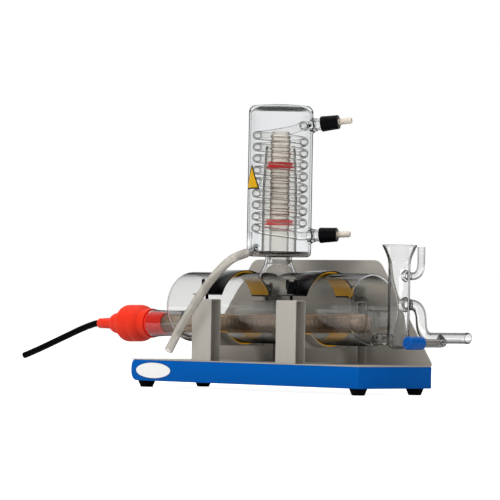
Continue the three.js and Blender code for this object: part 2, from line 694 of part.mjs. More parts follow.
// helix with its two tails turned sharply outwards into the water ports
function coilCurve() {
  const points = [];
  const leftAngle = -135;
  const portDegrees = THREE.MathUtils.radToDeg(PORT_ANGLE);
  const step = 22.5;
  const tailGap = 38;
  const onHelix = (degrees, z) => {
    const angle = THREE.MathUtils.degToRad(degrees);
    points.push(new THREE.Vector3(COIL_RADIUS * Math.cos(angle), COIL_RADIUS * Math.sin(angle), z));
  };
  const tail = (frame, side) => [[0, 64], [0, 54], [0, 45], [2.2, 38.6], [9, 35.4]].map(
    ([sideways, distance]) => new THREE.Vector3(0, side * sideways, distance).applyMatrix4(frame.matrix),
  );
  points.push(...tail(upperFrame, 1));
  const topSpan = leftAngle - (portDegrees - 360 + tailGap);
  for (let back = topSpan; back > 1; back -= topSpan / 7) {
    onHelix(leftAngle - back, COIL_LEFT_TOP_Z + 17.5 * (back / topSpan) ** 1.5);
  }
  for (let turned = 0; turned <= 360 * COIL_TURNS; turned += step) {
    onHelix(leftAngle + turned, COIL_LEFT_TOP_Z - (COIL_PITCH * turned) / 360);
  }
  const bottomZ = COIL_LEFT_TOP_Z - COIL_PITCH * COIL_TURNS;
  const bottomSpan = portDegrees - tailGap - leftAngle;
  for (let part = 1; part <= 5; part += 1) {
    onHelix(leftAngle + (bottomSpan * part) / 5, bottomZ - ((bottomZ - LOWER_PORT.z - 0.8) * part) / 5);
  }
  points.push(...tail(lowerFrame, -1).reverse());
  return new THREE.CatmullRomCurve3(points, false, 'centripetal');
}
place('cooling_coil', bar(coilCurve(), COIL_TUBE, 150, 6), clearGlass(), 0, 0, 0, condenser);

// steam tube with close-set beads along its upper part
function steamRiser() {
  const outline = [[RISER_RADIUS - 2, 199], [RISER_RADIUS - 0.2, 199], [RISER_RADIUS - 0.2, 248]];
  const beads = 15;
  const pitch = 10;
  for (let i = 0; i < beads; i += 1) {
    outline.push([RISER_RADIUS + 0.6, 250 + pitch * (i + 0.5)], [RISER_RADIUS - 1, 250 + pitch * (i + 1)]);
  }
  outline.push([RISER_RADIUS - 1.2, 402], [RISER_RADIUS - 3, 402]);
  outline.push([RISER_RADIUS - 3, 210], [RISER_RADIUS - 2, 199]);
  return revolve(outline);
}
place('steam_riser', steamRiser(), frostedGlass(), 0, 0, 0, condenser);

const SLEEVE_RADIUS = 27;
place('riser_sleeve', revolve([
  [SLEEVE_RADIUS - 2, 210.8], [SLEEVE_RADIUS, 210.8], [SLEEVE_RADIUS, 312], [23, 380], [21, 380],
  [SLEEVE_RADIUS - 2, 311.5], [SLEEVE_RADIUS - 2, 210.8],
]), clearGlass(), 0, 0, 0, condenser);

// spool-shaped silicone spacer between the riser and its sleeve
function spacerRing(outer, centreZ) {
  const inner = RISER_RADIUS + 0.9;
  return revolve([
    [inner, centreZ - 4], [outer, centreZ - 4], [outer, centreZ - 1.5], [outer - 2.5, centreZ - 1.2],
    [outer - 2.5, centreZ + 1.2], [outer, centreZ + 1.5], [outer, centreZ + 4], [inner, centreZ + 4],
    [inner, centreZ - 4],
  ]);
}
place('spacer_ring_upper', spacerRing(22.2, 350), redSilicone(), 0, 0, 0, condenser);
place('spacer_ring_lower', spacerRing(23.4, 261), redSilicone(), 0, 0, 0, condenser);

// thin triangle on the front of the jacket, bent round the glass
function triangleLabel() {
  const skin = solid(ring(JACKET_RADIUS + 0.3, JACKET_RADIUS + 0.8, 300, 360, LARGE));
  const outline = polygon([[-19, 312], [19, 312], [0, 351]]);
  const prism = new THREE.ExtrudeGeometry(outline, { depth: 60, bevelEnabled: false });
  prism.rotateX(Math.PI / 2).rotateZ(THREE.MathUtils.degToRad(-15));
  return geometryOf(skin.intersect(solid(prism)));
}
place('triangle_label', triangleLabel(), yellowLabel(), 0, 0, 0, condenser);

// ---------- screw-on water connections ----------
const CAP_START = 66.5;
const CAP_END = 94;
const NIPPLE_END = 115;

function portCap() {
  return revolve([
    [9.9, CAP_START], [12, CAP_START], [12, CAP_START + 6], [10.8, CAP_END], [5.6, CAP_END], [5.6, 91.2],
    [9.9, 91.2], [9.9, CAP_START],
  ]);
}

// flanged barbed hose nipple held under the cap
function portNipple() {
  return revolve([
    [2.8, 88.6], [8.8, 88.6], [8.8, 90.6], [4.8, 90.6], [4.8, 97], [5.2, 97.5], [4.5, 103], [5.2, 103.5],
    [4.5, 109], [5, 109.5], [4.2, NIPPLE_END], [2.8, NIPPLE_END], [2.8, 88.6],
  ], SMALL);
}

for (const [where, frame] of [['upper', upperFrame], ['lower', lowerFrame]]) {
  place(`port_cap_${where}`, portCap(), blackPlastic(), 0, 0, 0, frame);
  place(`port_nipple_${where}`, portNipple(), beigePlastic(), 0, 0, 0, frame);
  place(`port_seal_${where}`, ring(3, 8.8, 86.2, 88.4), whitePlastic(), 0, 0, 0, frame);
}

// ---------- distillate hose ----------
// pushed over the arm, turned left in one short bend, then hanging in one long bend
const HOSE_RADIUS = 7.25;
const HOSE_OVERLAP = 18.5;
const HOSE_SHORT_BEND = 13;
const HOSE_LONG_BEND_CORNER = new THREE.Vector3(-72, -98, 160);
const HOSE_END = new THREE.Vector3(-144, -95.5, 59);

function distillateHose() {
  const direction = ARM_TIP.clone().sub(ARM_ROOT).normalize();
  const corner = ARM_TIP.clone().addScaledVector(direction, HOSE_SHORT_BEND);
  const onwards = HOSE_LONG_BEND_CORNER.clone().sub(corner).setLength(HOSE_SHORT_BEND);
  const bendEnd = corner.clone().add(onwards);
  const path = new THREE.CurvePath();
  path.add(new THREE.LineCurve3(ARM_TIP.clone().addScaledVector(direction, -HOSE_OVERLAP), ARM_TIP));
  path.add(new THREE.QuadraticBezierCurve3(ARM_TIP, corner, bendEnd));
  path.add(new THREE.QuadraticBezierCurve3(bendEnd, HOSE_LONG_BEND_CORNER, HOSE_END));
  return bar(path, HOSE_RADIUS, 28, SMALL, ARM_RADIUS + 0.8);
}
place('distillate_hose', distillateHose(), hosePlastic(), 0, 0, 0, condenser);

// ---------- heater ----------
function heaterPart(name, outline, material, sides = MIDDLE) {
  place(name, alongX(revolve(outline, sides)), material, 0, 0, 0, heaterFrame);
}

const SHEATH_WALL = 1.8;
heaterPart('heater_sheath', [
  [SHEATH_RADIUS - SHEATH_WALL, SHEATH_LEFT], [SHEATH_RADIUS, SHEATH_LEFT], [SHEATH_RADIUS, SHEATH_TIP - 15],
  [13.5, SHEATH_TIP - 8], [9.6, SHEATH_TIP - 3], [0, SHEATH_TIP], [0, SHEATH_TIP - 2],
  [8.4, SHEATH_TIP - 4.8], [12, SHEATH_TIP - 9.4], [SHEATH_RADIUS - SHEATH_WALL, SHEATH_TIP - 16],
  [SHEATH_RADIUS - SHEATH_WALL, SHEATH_LEFT],
], frostedGlass());
heaterPart('heater_core', [[0, -296], [6, -296], [6, 172], [0, 172]], ceramicWhite(), SMALL);

// resistance wire wound round the ceramic core
function heaterWire() {
  const windingRadius = 9.2;
  const start = -150;
  const length = 310;
  const steps = 16 * 6;
  const points = [];
  for (let i = 0; i <= steps; i += 1) {
    const angle = (i / 6) * 2 * Math.PI;
    const x = start + (length * i) / steps;
    points.push(new THREE.Vector3(x, windingRadius * Math.cos(angle), windingRadius * Math.sin(angle)));
  }
  return bar(new THREE.CatmullRomCurve3(points), 1.4, steps, 4);
}
place('heater_wire', heaterWire(), steelWire(), 0, 0, 0, heaterFrame);

heaterPart('heater_stopper', [
  [SHEATH_RADIUS + 0.3, -296], [20.9, -296], [20.9, HEATER_NECK_END - 0.5], [19.8, HEATER_NECK_END - 0.5],
  [17.5, -251], [SHEATH_RADIUS + 0.3, -251], [SHEATH_RADIUS + 0.3, -296],
], redSilicone());

// moulded cap in one piece: cable gland, collar, shoulder at 45 degrees, round dome and skirt
const CAP_LEFT = -413;
const CAP_GLAND_RADIUS = 8.2;
const CAP_COLLAR_RADIUS = 17.4;
const CAP_DOME_RADIUS = 29.8;
const CAP_SKIRT_RADIUS = 23.6;
const CAP_RIGHT = -286;
heaterPart('heater_cap', [
  [0, CAP_LEFT], [CAP_GLAND_RADIUS, CAP_LEFT],
  ...outlineArc([CAP_GLAND_RADIUS, -364], CAP_COLLAR_RADIUS - CAP_GLAND_RADIUS, 17, -80, 0, 4),
  [CAP_COLLAR_RADIUS, -358],
  ...outlineArc([CAP_DOME_RADIUS - 10, -341], 10, 10, -45, 0, 3),
  ...outlineArc([CAP_DOME_RADIUS - 20, -315], 20, 20, 0, 46, 4),
  [CAP_SKIRT_RADIUS, CAP_RIGHT], [21.3, CAP_RIGHT], [21.3, -304], [0, -304],
], redCapRubber());

// the cable leaves the gland straight and sinks in one bend to a gentle slope
const CABLE_RADIUS = 5.2;
const CABLE_REACH = 187;
const CABLE_DROP = 53.5;
const CABLE_END_SLOPE = THREE.MathUtils.degToRad(15);

function mainsCable() {
  const gland = new THREE.Vector3(CAP_LEFT - 0.4, 0, 0);
  const bendStart = new THREE.Vector3(CAP_LEFT - 4.4, 0, 0);
  const end = new THREE.Vector3(CAP_LEFT - CABLE_REACH, 0, -CABLE_DROP);
  const leaving = bendStart.clone().setX(bendStart.x - 22);
  const arriving = new THREE.Vector3(Math.cos(CABLE_END_SLOPE), 0, Math.sin(CABLE_END_SLOPE));
  arriving.multiplyScalar(62).add(end);
  const path = new THREE.CurvePath();
  path.add(new THREE.LineCurve3(gland, bendStart));
  path.add(new THREE.CubicBezierCurve3(bendStart, leaving, arriving, end));
  return bar(path, CABLE_RADIUS, 24);
}
place('mains_cable', mainsCable(), blackRubber(), 0, 0, 0, heaterFrame);

group.position.set(FOOT_X, FOOT_Y, 0);
group.updateMatrixWorld(true);

export default group;
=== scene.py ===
"""Looks for a bench water still with an upright coil condenser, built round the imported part.

Sizes are in millimetres about the middle of the base; link_mesh turns them into metres in the part's frame.
X runs along the base to the feeder, -Y is the front, +Z is up.
"""
import math

import bmesh
import bpy
from mathutils import Matrix, Vector


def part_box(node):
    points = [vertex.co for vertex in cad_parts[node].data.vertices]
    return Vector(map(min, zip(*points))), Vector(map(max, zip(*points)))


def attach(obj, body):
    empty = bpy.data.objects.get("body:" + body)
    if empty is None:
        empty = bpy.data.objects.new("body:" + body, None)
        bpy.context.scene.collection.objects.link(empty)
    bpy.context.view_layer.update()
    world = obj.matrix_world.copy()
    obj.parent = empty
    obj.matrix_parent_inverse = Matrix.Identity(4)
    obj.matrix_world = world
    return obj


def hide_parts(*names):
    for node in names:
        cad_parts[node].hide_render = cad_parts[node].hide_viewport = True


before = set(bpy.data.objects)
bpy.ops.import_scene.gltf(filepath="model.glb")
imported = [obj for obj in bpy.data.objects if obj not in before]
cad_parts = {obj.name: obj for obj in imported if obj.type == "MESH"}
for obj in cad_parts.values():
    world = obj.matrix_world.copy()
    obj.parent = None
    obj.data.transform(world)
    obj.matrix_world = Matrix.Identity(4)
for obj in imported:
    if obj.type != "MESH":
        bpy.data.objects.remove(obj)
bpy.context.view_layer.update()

MM = 0.001
FINE = 72
SMALL = 32


def box_mm(node):
    """Corners of a CAD node in millimetres about the middle of the base."""
    return [(corner - BASE_CENTRE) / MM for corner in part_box(node)]


tray_low, tray_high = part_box("base_tray")
BASE_CENTRE = Vector(((tray_low.x + tray_high.x) / 2, (tray_low.y + tray_high.y) / 2, 0))
TRAY_LOW, TRAY_HIGH = box_mm("base_tray")
BASE_LENGTH = TRAY_HIGH.x - TRAY_LOW.x
BASE_DEPTH = TRAY_HIGH.y - TRAY_LOW.y
FOOT_HEIGHT = TRAY_LOW.z
TRAY_TOP = TRAY_HIGH.z
FOOT_X = 232
FOOT_Y = 62
SHEET = 1.5
PANEL_TOP = box_mm("deck_and_back_panel")[1].z
PANEL_INSET = 112
BADGE_LOW, BADGE_HIGH = box_mm("oval_badge")
BOILER_RADIUS = 55
BOILER_AXIS_Z = 128
BOILER_LEFT = -203
BOILER_RIGHT = 208.5
BOILER_SHOULDER = 7
NECK_X = -3
NECK_TOP = box_mm("boiler_vessel")[1].z
HEATER_Z = 104.9
HEATER_TILT = math.radians(0.9)
HEATER_NECK_END = -283
CAP_LEFT = -413
CAP_COLLAR_RADIUS = 17.4
CAP_DOME_RADIUS = 29.7
CABLE_REACH = 187
CABLE_DROP = 53.5
CABLE_END_SLOPE = math.radians(15)
POST_LOW, POST_HIGH = box_mm("post_front_right")
POST_X = (POST_LOW.x + POST_HIGH.x) / 2
POST_WIDTH = POST_HIGH.x - POST_LOW.x
POST_INNER_Y = -POST_HIGH.y
POST_OUTER_Y = -POST_LOW.y
POST_TOP = POST_HIGH.z
STUD_Y = 67
TAB_LOW = 147.3
TAB_HIGH = TAB_LOW + SHEET
JACKET_RADIUS = 50
JACKET_BOTTOM = 208
JACKET_TOP = box_mm("condenser_jacket")[1].z
COIL_RADIUS = 37
COIL_TUBE = 6.55
COIL_PITCH = 18
COIL_TURNS = 8
COIL_TOP_Z = 396
PORT_ANGLE = math.radians(28)
FEEDER_X = 254
FEEDER_RIM = 226.6
FEED_PORT_Z = 84
FEED_SEAM_X = 228
INLET_Z = 180
INLET_TOP = 224.5
OVERFLOW_Z = 137
WASTE_END = 156
VALVE_X = 284
VALVE_Z = 79.5
WASTE_Z = 87

CORNERS = [("front_left", -1, -1), ("front_right", 1, -1), ("rear_left", -1, 1), ("rear_right", 1, 1)]


# ---------------------------------------------------------------- mesh building

def link_mesh(name, verts, faces, material, smooth=38):
    """Makes an object from millimetre points, with faces turned outwards and shaded smooth up to an angle."""
    mesh = bpy.data.meshes.new(name)
    mesh.from_pydata([Vector(v) * MM + BASE_CENTRE for v in verts], [], faces)
    work = bmesh.new()
    work.from_mesh(mesh)
    bmesh.ops.recalc_face_normals(work, faces=work.faces)
    work.to_mesh(mesh)
    work.free()
    obj = bpy.data.objects.new(name, mesh)
    bpy.context.scene.collection.objects.link(obj)
    if material is not None:
        mesh.materials.append(material)
    shade(obj, smooth)
    return obj


def shade(obj, smooth):
    """Smooth shading, with edges sharper than the angle kept crisp."""
    obj.data.shade_smooth()
    obj.data.set_sharp_from_angle(angle=math.radians(smooth))


def lathe(profile, sides=FINE, matrix=None):
    """Revolves (radius, height) points about Z. The outline ends on the axis or closes on itself."""
    matrix = matrix or Matrix()
    closed = profile[0] == profile[-1]
    points = profile[:-1] if closed else profile
    verts, faces, rings = [], [], []
    for radius, height in points:
        count = 1 if radius < 1e-6 else sides
        rings.append(range(len(verts), len(verts) + count))
        for k in range(count):
            turn = 2 * math.pi * k / sides
            verts.append(matrix @ Vector((radius * math.cos(turn), radius * math.sin(turn), height)))
    pairs = list(zip(rings, rings[1:]))
    if closed:
        pairs.append((rings[-1], rings[0]))
    for low, high in pairs:
        for k in range(sides):
            n = (k + 1) % sides
            if len(low) == 1 and len(high) == 1:
                continue
            if len(low) == 1:
                faces.append((low[0], high[n], high[k]))
            elif len(high) == 1:
                faces.append((low[k], low[n], high[0]))
            else:
                faces.append((low[k], low[n], high[n], high[k]))
    return verts, faces


def sweep(points, radius, sides=SMALL, inner=0.0):
    """Round bar along a list of points, or a pipe when an inner radius is given. radius may be a list."""
    points = [Vector(p) for p in points]
    count = len(points)
    radii = radius if isinstance(radius, list) else [radius] * count
    tangents = []
    for i in range(count):
        ahead = points[min(i + 1, count - 1)]
        behind = points[max(i - 1, 0)]
        tangents.append((ahead - behind).normalized())
    side = tangents[0].orthogonal().normalized()
    verts, faces = [], []
    outer, hollow = [], []
    for i in range(count):
        side = (side - tangents[i] * side.dot(tangents[i])).normalized()
        other = tangents[i].cross(side)
        for store, size in ((outer, radii[i]), (hollow, inner)):
            if size <= 0:
                continue
            store.append(range(len(verts), len(verts) + sides))
            for k in range(sides):
                turn = 2 * math.pi * k / sides
                verts.append(points[i] + (side * math.cos(turn) + other * math.sin(turn)) * size)
    for store in (outer, hollow):
        for low, high in zip(store, store[1:]):
            for k in range(sides):
                n = (k + 1) % sides
                faces.append((low[k], low[n], high[n], high[k]))
    if inner > 0:
        for a, b in ((outer[0], hollow[0]), (outer[-1], hollow[-1])):
            for k in range(sides):
                n = (k + 1) % sides
                faces.append((a[k], a[n], b[n], b[k]))
    else:
        faces.append(tuple(outer[0]))
        faces.append(tuple(outer[-1]))
    return verts, faces


def prism(outline, axis, low, high, matrix=None):
    """Extrudes a closed outline of (u, v) points along X, Y or Z between two positions."""
    matrix = matrix or Matrix()
    place = {
        "X": lambda u, v, w: (w, u, v),
        "Y": lambda u, v, w: (u, w, v),
        "Z": lambda u, v, w: (u, v, w),
    }[axis]
    count = len(outline)
    verts = [matrix @ Vector(place(u, v, low)) for u, v in outline]
    verts += [matrix @ Vector(place(u, v, high)) for u, v in outline]
    faces = [tuple(range(count)), tuple(range(count, 2 * count))]
    for k in range(count):
        n = (k + 1) % count
        faces.append((k, n, count + n, count + k))
    return verts, faces


def arc(cx, cy, radius, start, end, steps=8, stretch=1.0):
    """Points on an arc, angles in degrees. Stretch lengthens it along the second axis."""
    points = []
    for i in range(steps + 1):
        turn = math.radians(start + (end - start) * i / steps)
        points.append((cx + radius * math.cos(turn), cy + radius * stretch * math.sin(turn)))
    return points


def bezier(controls, steps=24):
    """Bezier curve from the first control point to the last."""
    curve = []
    for k in range(steps + 1):
        level = [Vector(point) for point in controls]
        while len(level) > 1:
            level = [a.lerp(b, k / steps) for a, b in zip(level, level[1:])]
        curve.append(level[0])
    return curve


def flowing(points, steps=10):
    """Catmull-Rom curve through points of any dimension."""
    points = [Vector(p) for p in points]
    points = [points[0] * 2 - points[1]] + points + [points[-1] * 2 - points[-2]]
    curve = []
    for i in range(1, len(points) - 2):
        a, b, c, d = points[i - 1:i + 3]
        for k in range(steps):
            t = k / steps
            curve.append(0.5 * (2 * b + (c - a) * t + (2 * a - 5 * b + 4 * c - d) * t * t
                                + (3 * b - a - 3 * c + d) * t * t * t))
    curve.append(points[-2])
    return curve


def bent(corners, bend, steps=10, spacing=3.0):
    """Straight legs joined by smooth bends; a bend starts the given distance from its corner."""
    corners = [Vector(c) for c in corners]
    path = [corners[0]]
    for i in range(1, len(corners) - 1):
        corner = corners[i]
        arrive = corner + (corners[i - 1] - corner).normalized() * bend
        leave = corner + (corners[i + 1] - corner).normalized() * bend
        for k in range(steps + 1):
            t = k / steps
            path.append(arrive * (1 - t) ** 2 + corner * 2 * t * (1 - t) + leave * t * t)
    path.append(corners[-1])
    dense = [path[0]]
    for a, b in zip(path, path[1:]):
        pieces = max(1, int((b - a).length / spacing))
        dense.extend(a.lerp(b, (k + 1) / pieces) for k in range(pieces))
    return dense


def plug(radius, low, high, sides, matrix):
    """Plain cylinder between two heights, for a bore or a stub."""
    return lathe([(0, low), (radius, low), (radius, high), (0, high)], sides, matrix)


def along_x(z=0.0, tilt=0.0):
    """Lays a lathe outline along +X at a height, its right end raised by the tilt."""
    return Matrix.Translation((0, 0, z)) @ Matrix.Rotation(math.pi / 2 - tilt, 4, "Y")


def along_y(x=0.0, z=0.0):
    """Lays a lathe outline along +Y."""
    return Matrix.Translation((x, 0, z)) @ Matrix.Rotation(-math.pi / 2, 4, "X")


def apply_modifiers(obj):
    """Bakes the modifiers into the mesh."""
    graph = bpy.context.evaluated_depsgraph_get()
    baked = bpy.data.meshes.new_from_object(obj.evaluated_get(graph))
    obj.modifiers.clear()
    obj.data = baked
    return obj


def boolean(obj, tools, operation):
    """Joins or cuts obj with closed (verts, faces) tools."""
    for tool in tools:
        helper = link_mesh("tool", *tool, None)
        step = obj.modifiers.new("step", "BOOLEAN")
        step.operation = operation
        step.solver = "MANIFOLD"
        step.object = helper
        apply_modifiers(obj)
        bpy.data.objects.remove(helper)
    return obj


def fused(name, outsides, insides, material, smooth=30):
    """One glass body: the union of the outer shapes less every inner shape."""
    obj = link_mesh(name, *outsides[0], material)
    boolean(obj, outsides[1:], "UNION")
    boolean(obj, insides, "DIFFERENCE")
    shade(obj, smooth)
    return obj


def soften(obj, width, segments=2, smooth=38):
    """Rounds the edges of a sheet or block by a small width."""
    edge = obj.modifiers.new("edge", "BEVEL")
    edge.width = width * MM
    edge.segments = segments
    edge.limit_method = "ANGLE"
    edge.angle_limit = math.radians(40)
    edge.harden_normals = False
    apply_modifiers(obj)
    shade(obj, smooth)
    return obj


def mount(obj, body, slot, *nodes):
    """Ties a finished piece to its body and hides the CAD nodes it stands for; its slot is not used."""
    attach(obj, body)
    if nodes:
        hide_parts(*nodes)
    return obj


def turned(name, outline, sides, matrix, material, body, slot, *nodes, smooth=38):
    """A piece revolved from its outline and mounted."""
    return mount(link_mesh(name, *lathe(outline, sides, matrix), material, smooth), body, slot, *nodes)


# ---------------------------------------------------------------- materials

def node(tree, kind, inputs=None, **settings):
    """Adds a shader node. An input takes a plain value, or a link when it is given a socket."""
    made = tree.nodes.new(f"ShaderNode{kind}")
    for key, value in settings.items():
        setattr(made, key, value)
    for key, value in (inputs or {}).items():
        if isinstance(value, bpy.types.NodeSocket):
            tree.links.new(value, made.inputs[key])
        else:
            made.inputs[key].default_value = value
    return made


def blended(tree, share, first, second):
    """Mix of two colours or colour sockets."""
    mix = node(tree, "Mix", {"Factor": share, "A": first, "B": second}, data_type="RGBA")
    return mix.outputs["Result"]


def blended_shader(tree, share, first, second):
    return node(tree, "MixShader", {"Fac": share, 1: first, 2: second}).outputs["Shader"]


def ranged(tree, value, from_low, from_high, to_low=0.0, to_high=1.0, interpolation="LINEAR"):
    """Maps one range of values onto another, held at its ends."""
    limits = {"Value": value, "From Min": from_low, "From Max": from_high}
    limits |= {"To Min": to_low, "To Max": to_high}
    return node(tree, "MapRange", limits, interpolation_type=interpolation).outputs["Result"]


def new_material(name):
    material = bpy.data.materials.new(name)
    material.use_nodes = True
    tree = material.node_tree
    tree.nodes.clear()
    return material, tree, node(tree, "OutputMaterial")


def noise(tree, scale, stretch=(1, 1, 1)):
    coordinates = node(tree, "TexCoord")
    mapping = node(tree, "Mapping", {"Scale": stretch, "Vector": coordinates.outputs["Object"]})
    texture = node(tree, "TexNoise", {"Scale": scale, "Detail": 4.0, "Vector": mapping.outputs["Vector"]})
    return texture.outputs["Fac"]


def spread(tree, value, low, high):
    """Stretches the middle of a noise, where most of its values lie, over a range."""
    return ranged(tree, value, 0.3, 0.7, low, high)


def surface(name, color, roughness, metallic=0.0, vary=0.12, scale=30.0, stretch=(1, 1, 1),
            bump=0.05, bump_scale=400.0, bump_stretch=(1, 1, 1), painted_glow=0.0, **inputs):
    """Principled material whose colour, roughness and height all carry a fine procedural variation."""
    material, tree, output = new_material(name)
    darker = [c * (1 - vary) for c in color] + [1]
    lighter = [min(1.0, c * (1 + vary)) for c in color] + [1]
    tint = blended(tree, noise(tree, scale, stretch), darker, lighter)
    rough = spread(tree, noise(tree, scale * 3, stretch), roughness * 0.85, roughness * 1.15)
    height = noise(tree, bump_scale, bump_stretch)
    normal = node(tree, "Bump", {"Strength": bump, "Distance": 0.0005, "Height": height}).outputs["Normal"]
    # painted light: the glow makes the surface give off its own colour as though lit from behind, though it
    # is no lamp
    settings = {"Metallic": metallic, "Base Color": tint, "Emission Color": tint, "Emission Strength": painted_glow,
                "Roughness": rough, "Normal": normal}
    for key, value in inputs.items():
        settings[key.replace("_", " ")] = value
    shader = node(tree, "BsdfPrincipled", settings)
    tree.links.new(shader.outputs["BSDF"], output.inputs["Surface"])
    return material


def bands(tree, pitch):
    """Ripples from 0 to 1 along Z with the given pitch in millimetres."""
    split = node(tree, "SeparateXYZ", {"Vector": node(tree, "TexCoord").outputs["Object"]})
    turn = node(tree, "Math", {0: split.outputs["Z"], 1: 2 * math.pi / (pitch * MM)}, operation="MULTIPLY")
    ripple = node(tree, "Math", {0: turn.outputs["Value"]}, operation="SINE")
    wobble = node(tree, "Math", {0: ripple.outputs["Value"], 1: noise(tree, 90.0)})
    return ranged(tree, wobble.outputs["Value"], 0.95, 1.5, interpolation="SMOOTHSTEP")


def milky_or_painted_body(tree, body, painted_shade_color, edge, band_pitch):
    """Solid part of a cloudy glass; with a band pitch it carries painted reflections: bands and edges
    darkened to the painted shade colour, and a painted glow.
    """
    settings = {"Base Color": (*body, 1), "Roughness": 0.3}
    if band_pitch:
        # painted reflection and shade: bands along Z and the wall's edges turn the body dark in place of the
        # dark reflections between the beads, and the emission paints the bright ones
        painted_shade_share = node(tree, "Math", {0: bands(tree, band_pitch), 1: edge}, operation="MAXIMUM")
        painted_reflection_stripes = blended(tree, painted_shade_share.outputs["Value"], (*body, 1), (*painted_shade_color, 1))
        settings |= {"Base Color": painted_reflection_stripes, "Emission Color": painted_reflection_stripes, "Emission Strength": 0.42}
    return node(tree, "BsdfPrincipled", settings).outputs["BSDF"]


def glass(name, tint, rim, roughness=0.0, index=1.47, wave=0.03, body=None, body_share=0.0, band_pitch=0.0):
    """Clear glass with slight hand-worked waviness, which lets most light through its shadow.

    Where the wall is seen edge on, the tint is darkened to the rim colour as painted shade for the dark
    outlines a glass wall shows; rim is (colour, facing where it starts, facing where it is full).
    """
    material, tree, output = new_material(name)
    painted_shade_color, rim_start, rim_full = rim
    facing = node(tree, "LayerWeight", {"Blend": 0.5}).outputs["Facing"]
    # painted shade: the edge share and the tint below darken the glass towards the rim colour where its wall
    # is seen edge on
    edge = ranged(tree, facing, rim_start, rim_full, interpolation="SMOOTHSTEP")
    painted_edge_tint = blended(tree, edge, (*tint, 1), (*painted_shade_color, 1))
    height = node(tree, "Bump", {"Strength": wave, "Distance": 0.002, "Height": noise(tree, 35.0)})
    settings = {"Color": painted_edge_tint, "Roughness": roughness, "IOR": index, "Normal": height.outputs["Normal"]}
    front = node(tree, "BsdfGlass", settings).outputs["BSDF"]
    if body is not None:
        solid = milky_or_painted_body(tree, body, painted_shade_color, edge, band_pitch)
        share = spread(tree, noise(tree, 60.0), body_share * 0.8, body_share * 1.2)
        front = blended_shader(tree, share, front, solid)
    clear = node(tree, "BsdfTransparent", {"Color": (0.9, 0.9, 0.9, 1)}).outputs["BSDF"]
    in_shadow = node(tree, "LightPath").outputs["Is Shadow Ray"]
    tree.links.new(blended_shader(tree, in_shadow, front, clear), output.inputs["Surface"])
    return material


BLUE_PAINT = surface("blue_paint", (0.0, 0.092, 0.385), 0.55, vary=0.03, bump=0.08, bump_scale=900.0,
                     Specular_IOR_Level=0.06)
STEEL = surface("stainless_sheet", (0.40, 0.375, 0.335), 0.42, metallic=0.12, vary=0.05, scale=120.0,
                stretch=(0.2, 1, 1), bump=0.05, bump_scale=1500.0, bump_stretch=(0.03, 1, 1))
POST_STEEL = surface("post_sheet", (0.44, 0.415, 0.37), 0.42, metallic=0.12, vary=0.04, scale=140.0,
                     stretch=(1, 1, 0.15), bump=0.05, bump_scale=1500.0, bump_stretch=(1, 1, 0.03))
BLACK_GLOSS = surface("strap_black", (0.002, 0.002, 0.0025), 0.14, vary=0.2, bump=0.03, bump_scale=200.0,
                      Specular_IOR_Level=0.25)
BLACK_PLASTIC = surface("black_plastic", (0.0018, 0.0018, 0.0026), 0.4, vary=0.2, bump=0.15,
                        bump_scale=1200.0, Specular_IOR_Level=0.08)
BLACK_RUBBER = surface("rubber_black", (0.003, 0.003, 0.004), 0.7, vary=0.25, bump=0.3, bump_scale=1500.0,
                       Specular_IOR_Level=0.06)
CABLE_BLACK = surface("cable_black", (0.0015, 0.0015, 0.002), 0.45, vary=0.2, bump=0.1, bump_scale=900.0,
                      Specular_IOR_Level=0.03)
# painted light: the glow on the amber liner and on the red cap, stopper and rings makes them shine as though
# lit from behind
AMBER = surface("amber_liner", (0.5, 0.25, 0.008), 0.4, vary=0.25, scale=45.0, bump=0.15, bump_scale=500.0,
                painted_glow=0.4)
RED_RUBBER = surface("red_cap", (0.72, 0.030, 0.010), 0.55, vary=0.06, bump=0.15, bump_scale=700.0, painted_glow=0.04,
                     Specular_IOR_Level=0.2)
STOPPER_RED = surface("stopper_red", (0.78, 0.020, 0.010), 0.4, vary=0.1, bump=0.1, bump_scale=600.0,
                      painted_glow=0.3)
RED_SILICONE = surface("red_silicone", (0.72, 0.006, 0.005), 0.35, vary=0.1, bump=0.1, bump_scale=600.0,
                       painted_glow=0.35)
BEIGE = surface("beige_plastic", (0.66, 0.59, 0.50), 0.5, vary=0.1, bump=0.25, bump_scale=800.0)
WHITE = surface("white_plastic", (0.85, 0.84, 0.82), 0.4, vary=0.03, bump=0.05)
BADGE_RING = surface("badge_ring", (0.01, 0.05, 0.25), 0.35, vary=0.08)
KNOB_BLUE = surface("blue_plastic", (0.0, 0.085, 0.36), 0.35, vary=0.08, bump=0.12, bump_scale=500.0,
                    Specular_IOR_Level=0.2)
LABEL_YELLOW = surface("label_yellow", (0.56, 0.31, 0.004), 0.45, vary=0.06, Specular_IOR_Level=0.1)
LABEL_EDGE = surface("label_edge", (0.012, 0.009, 0.006), 0.5, vary=0.2, Specular_IOR_Level=0.1)
CERAMIC = surface("ceramic_core", (0.62, 0.55, 0.48), 0.8, vary=0.1, bump=0.4, bump_scale=900.0)
WIRE = surface("resistance_wire", (0.32, 0.28, 0.25), 0.35, metallic=0.9, vary=0.2)
FASTENER = surface("fastener_steel", (0.55, 0.55, 0.55), 0.3, metallic=1.0, vary=0.1)

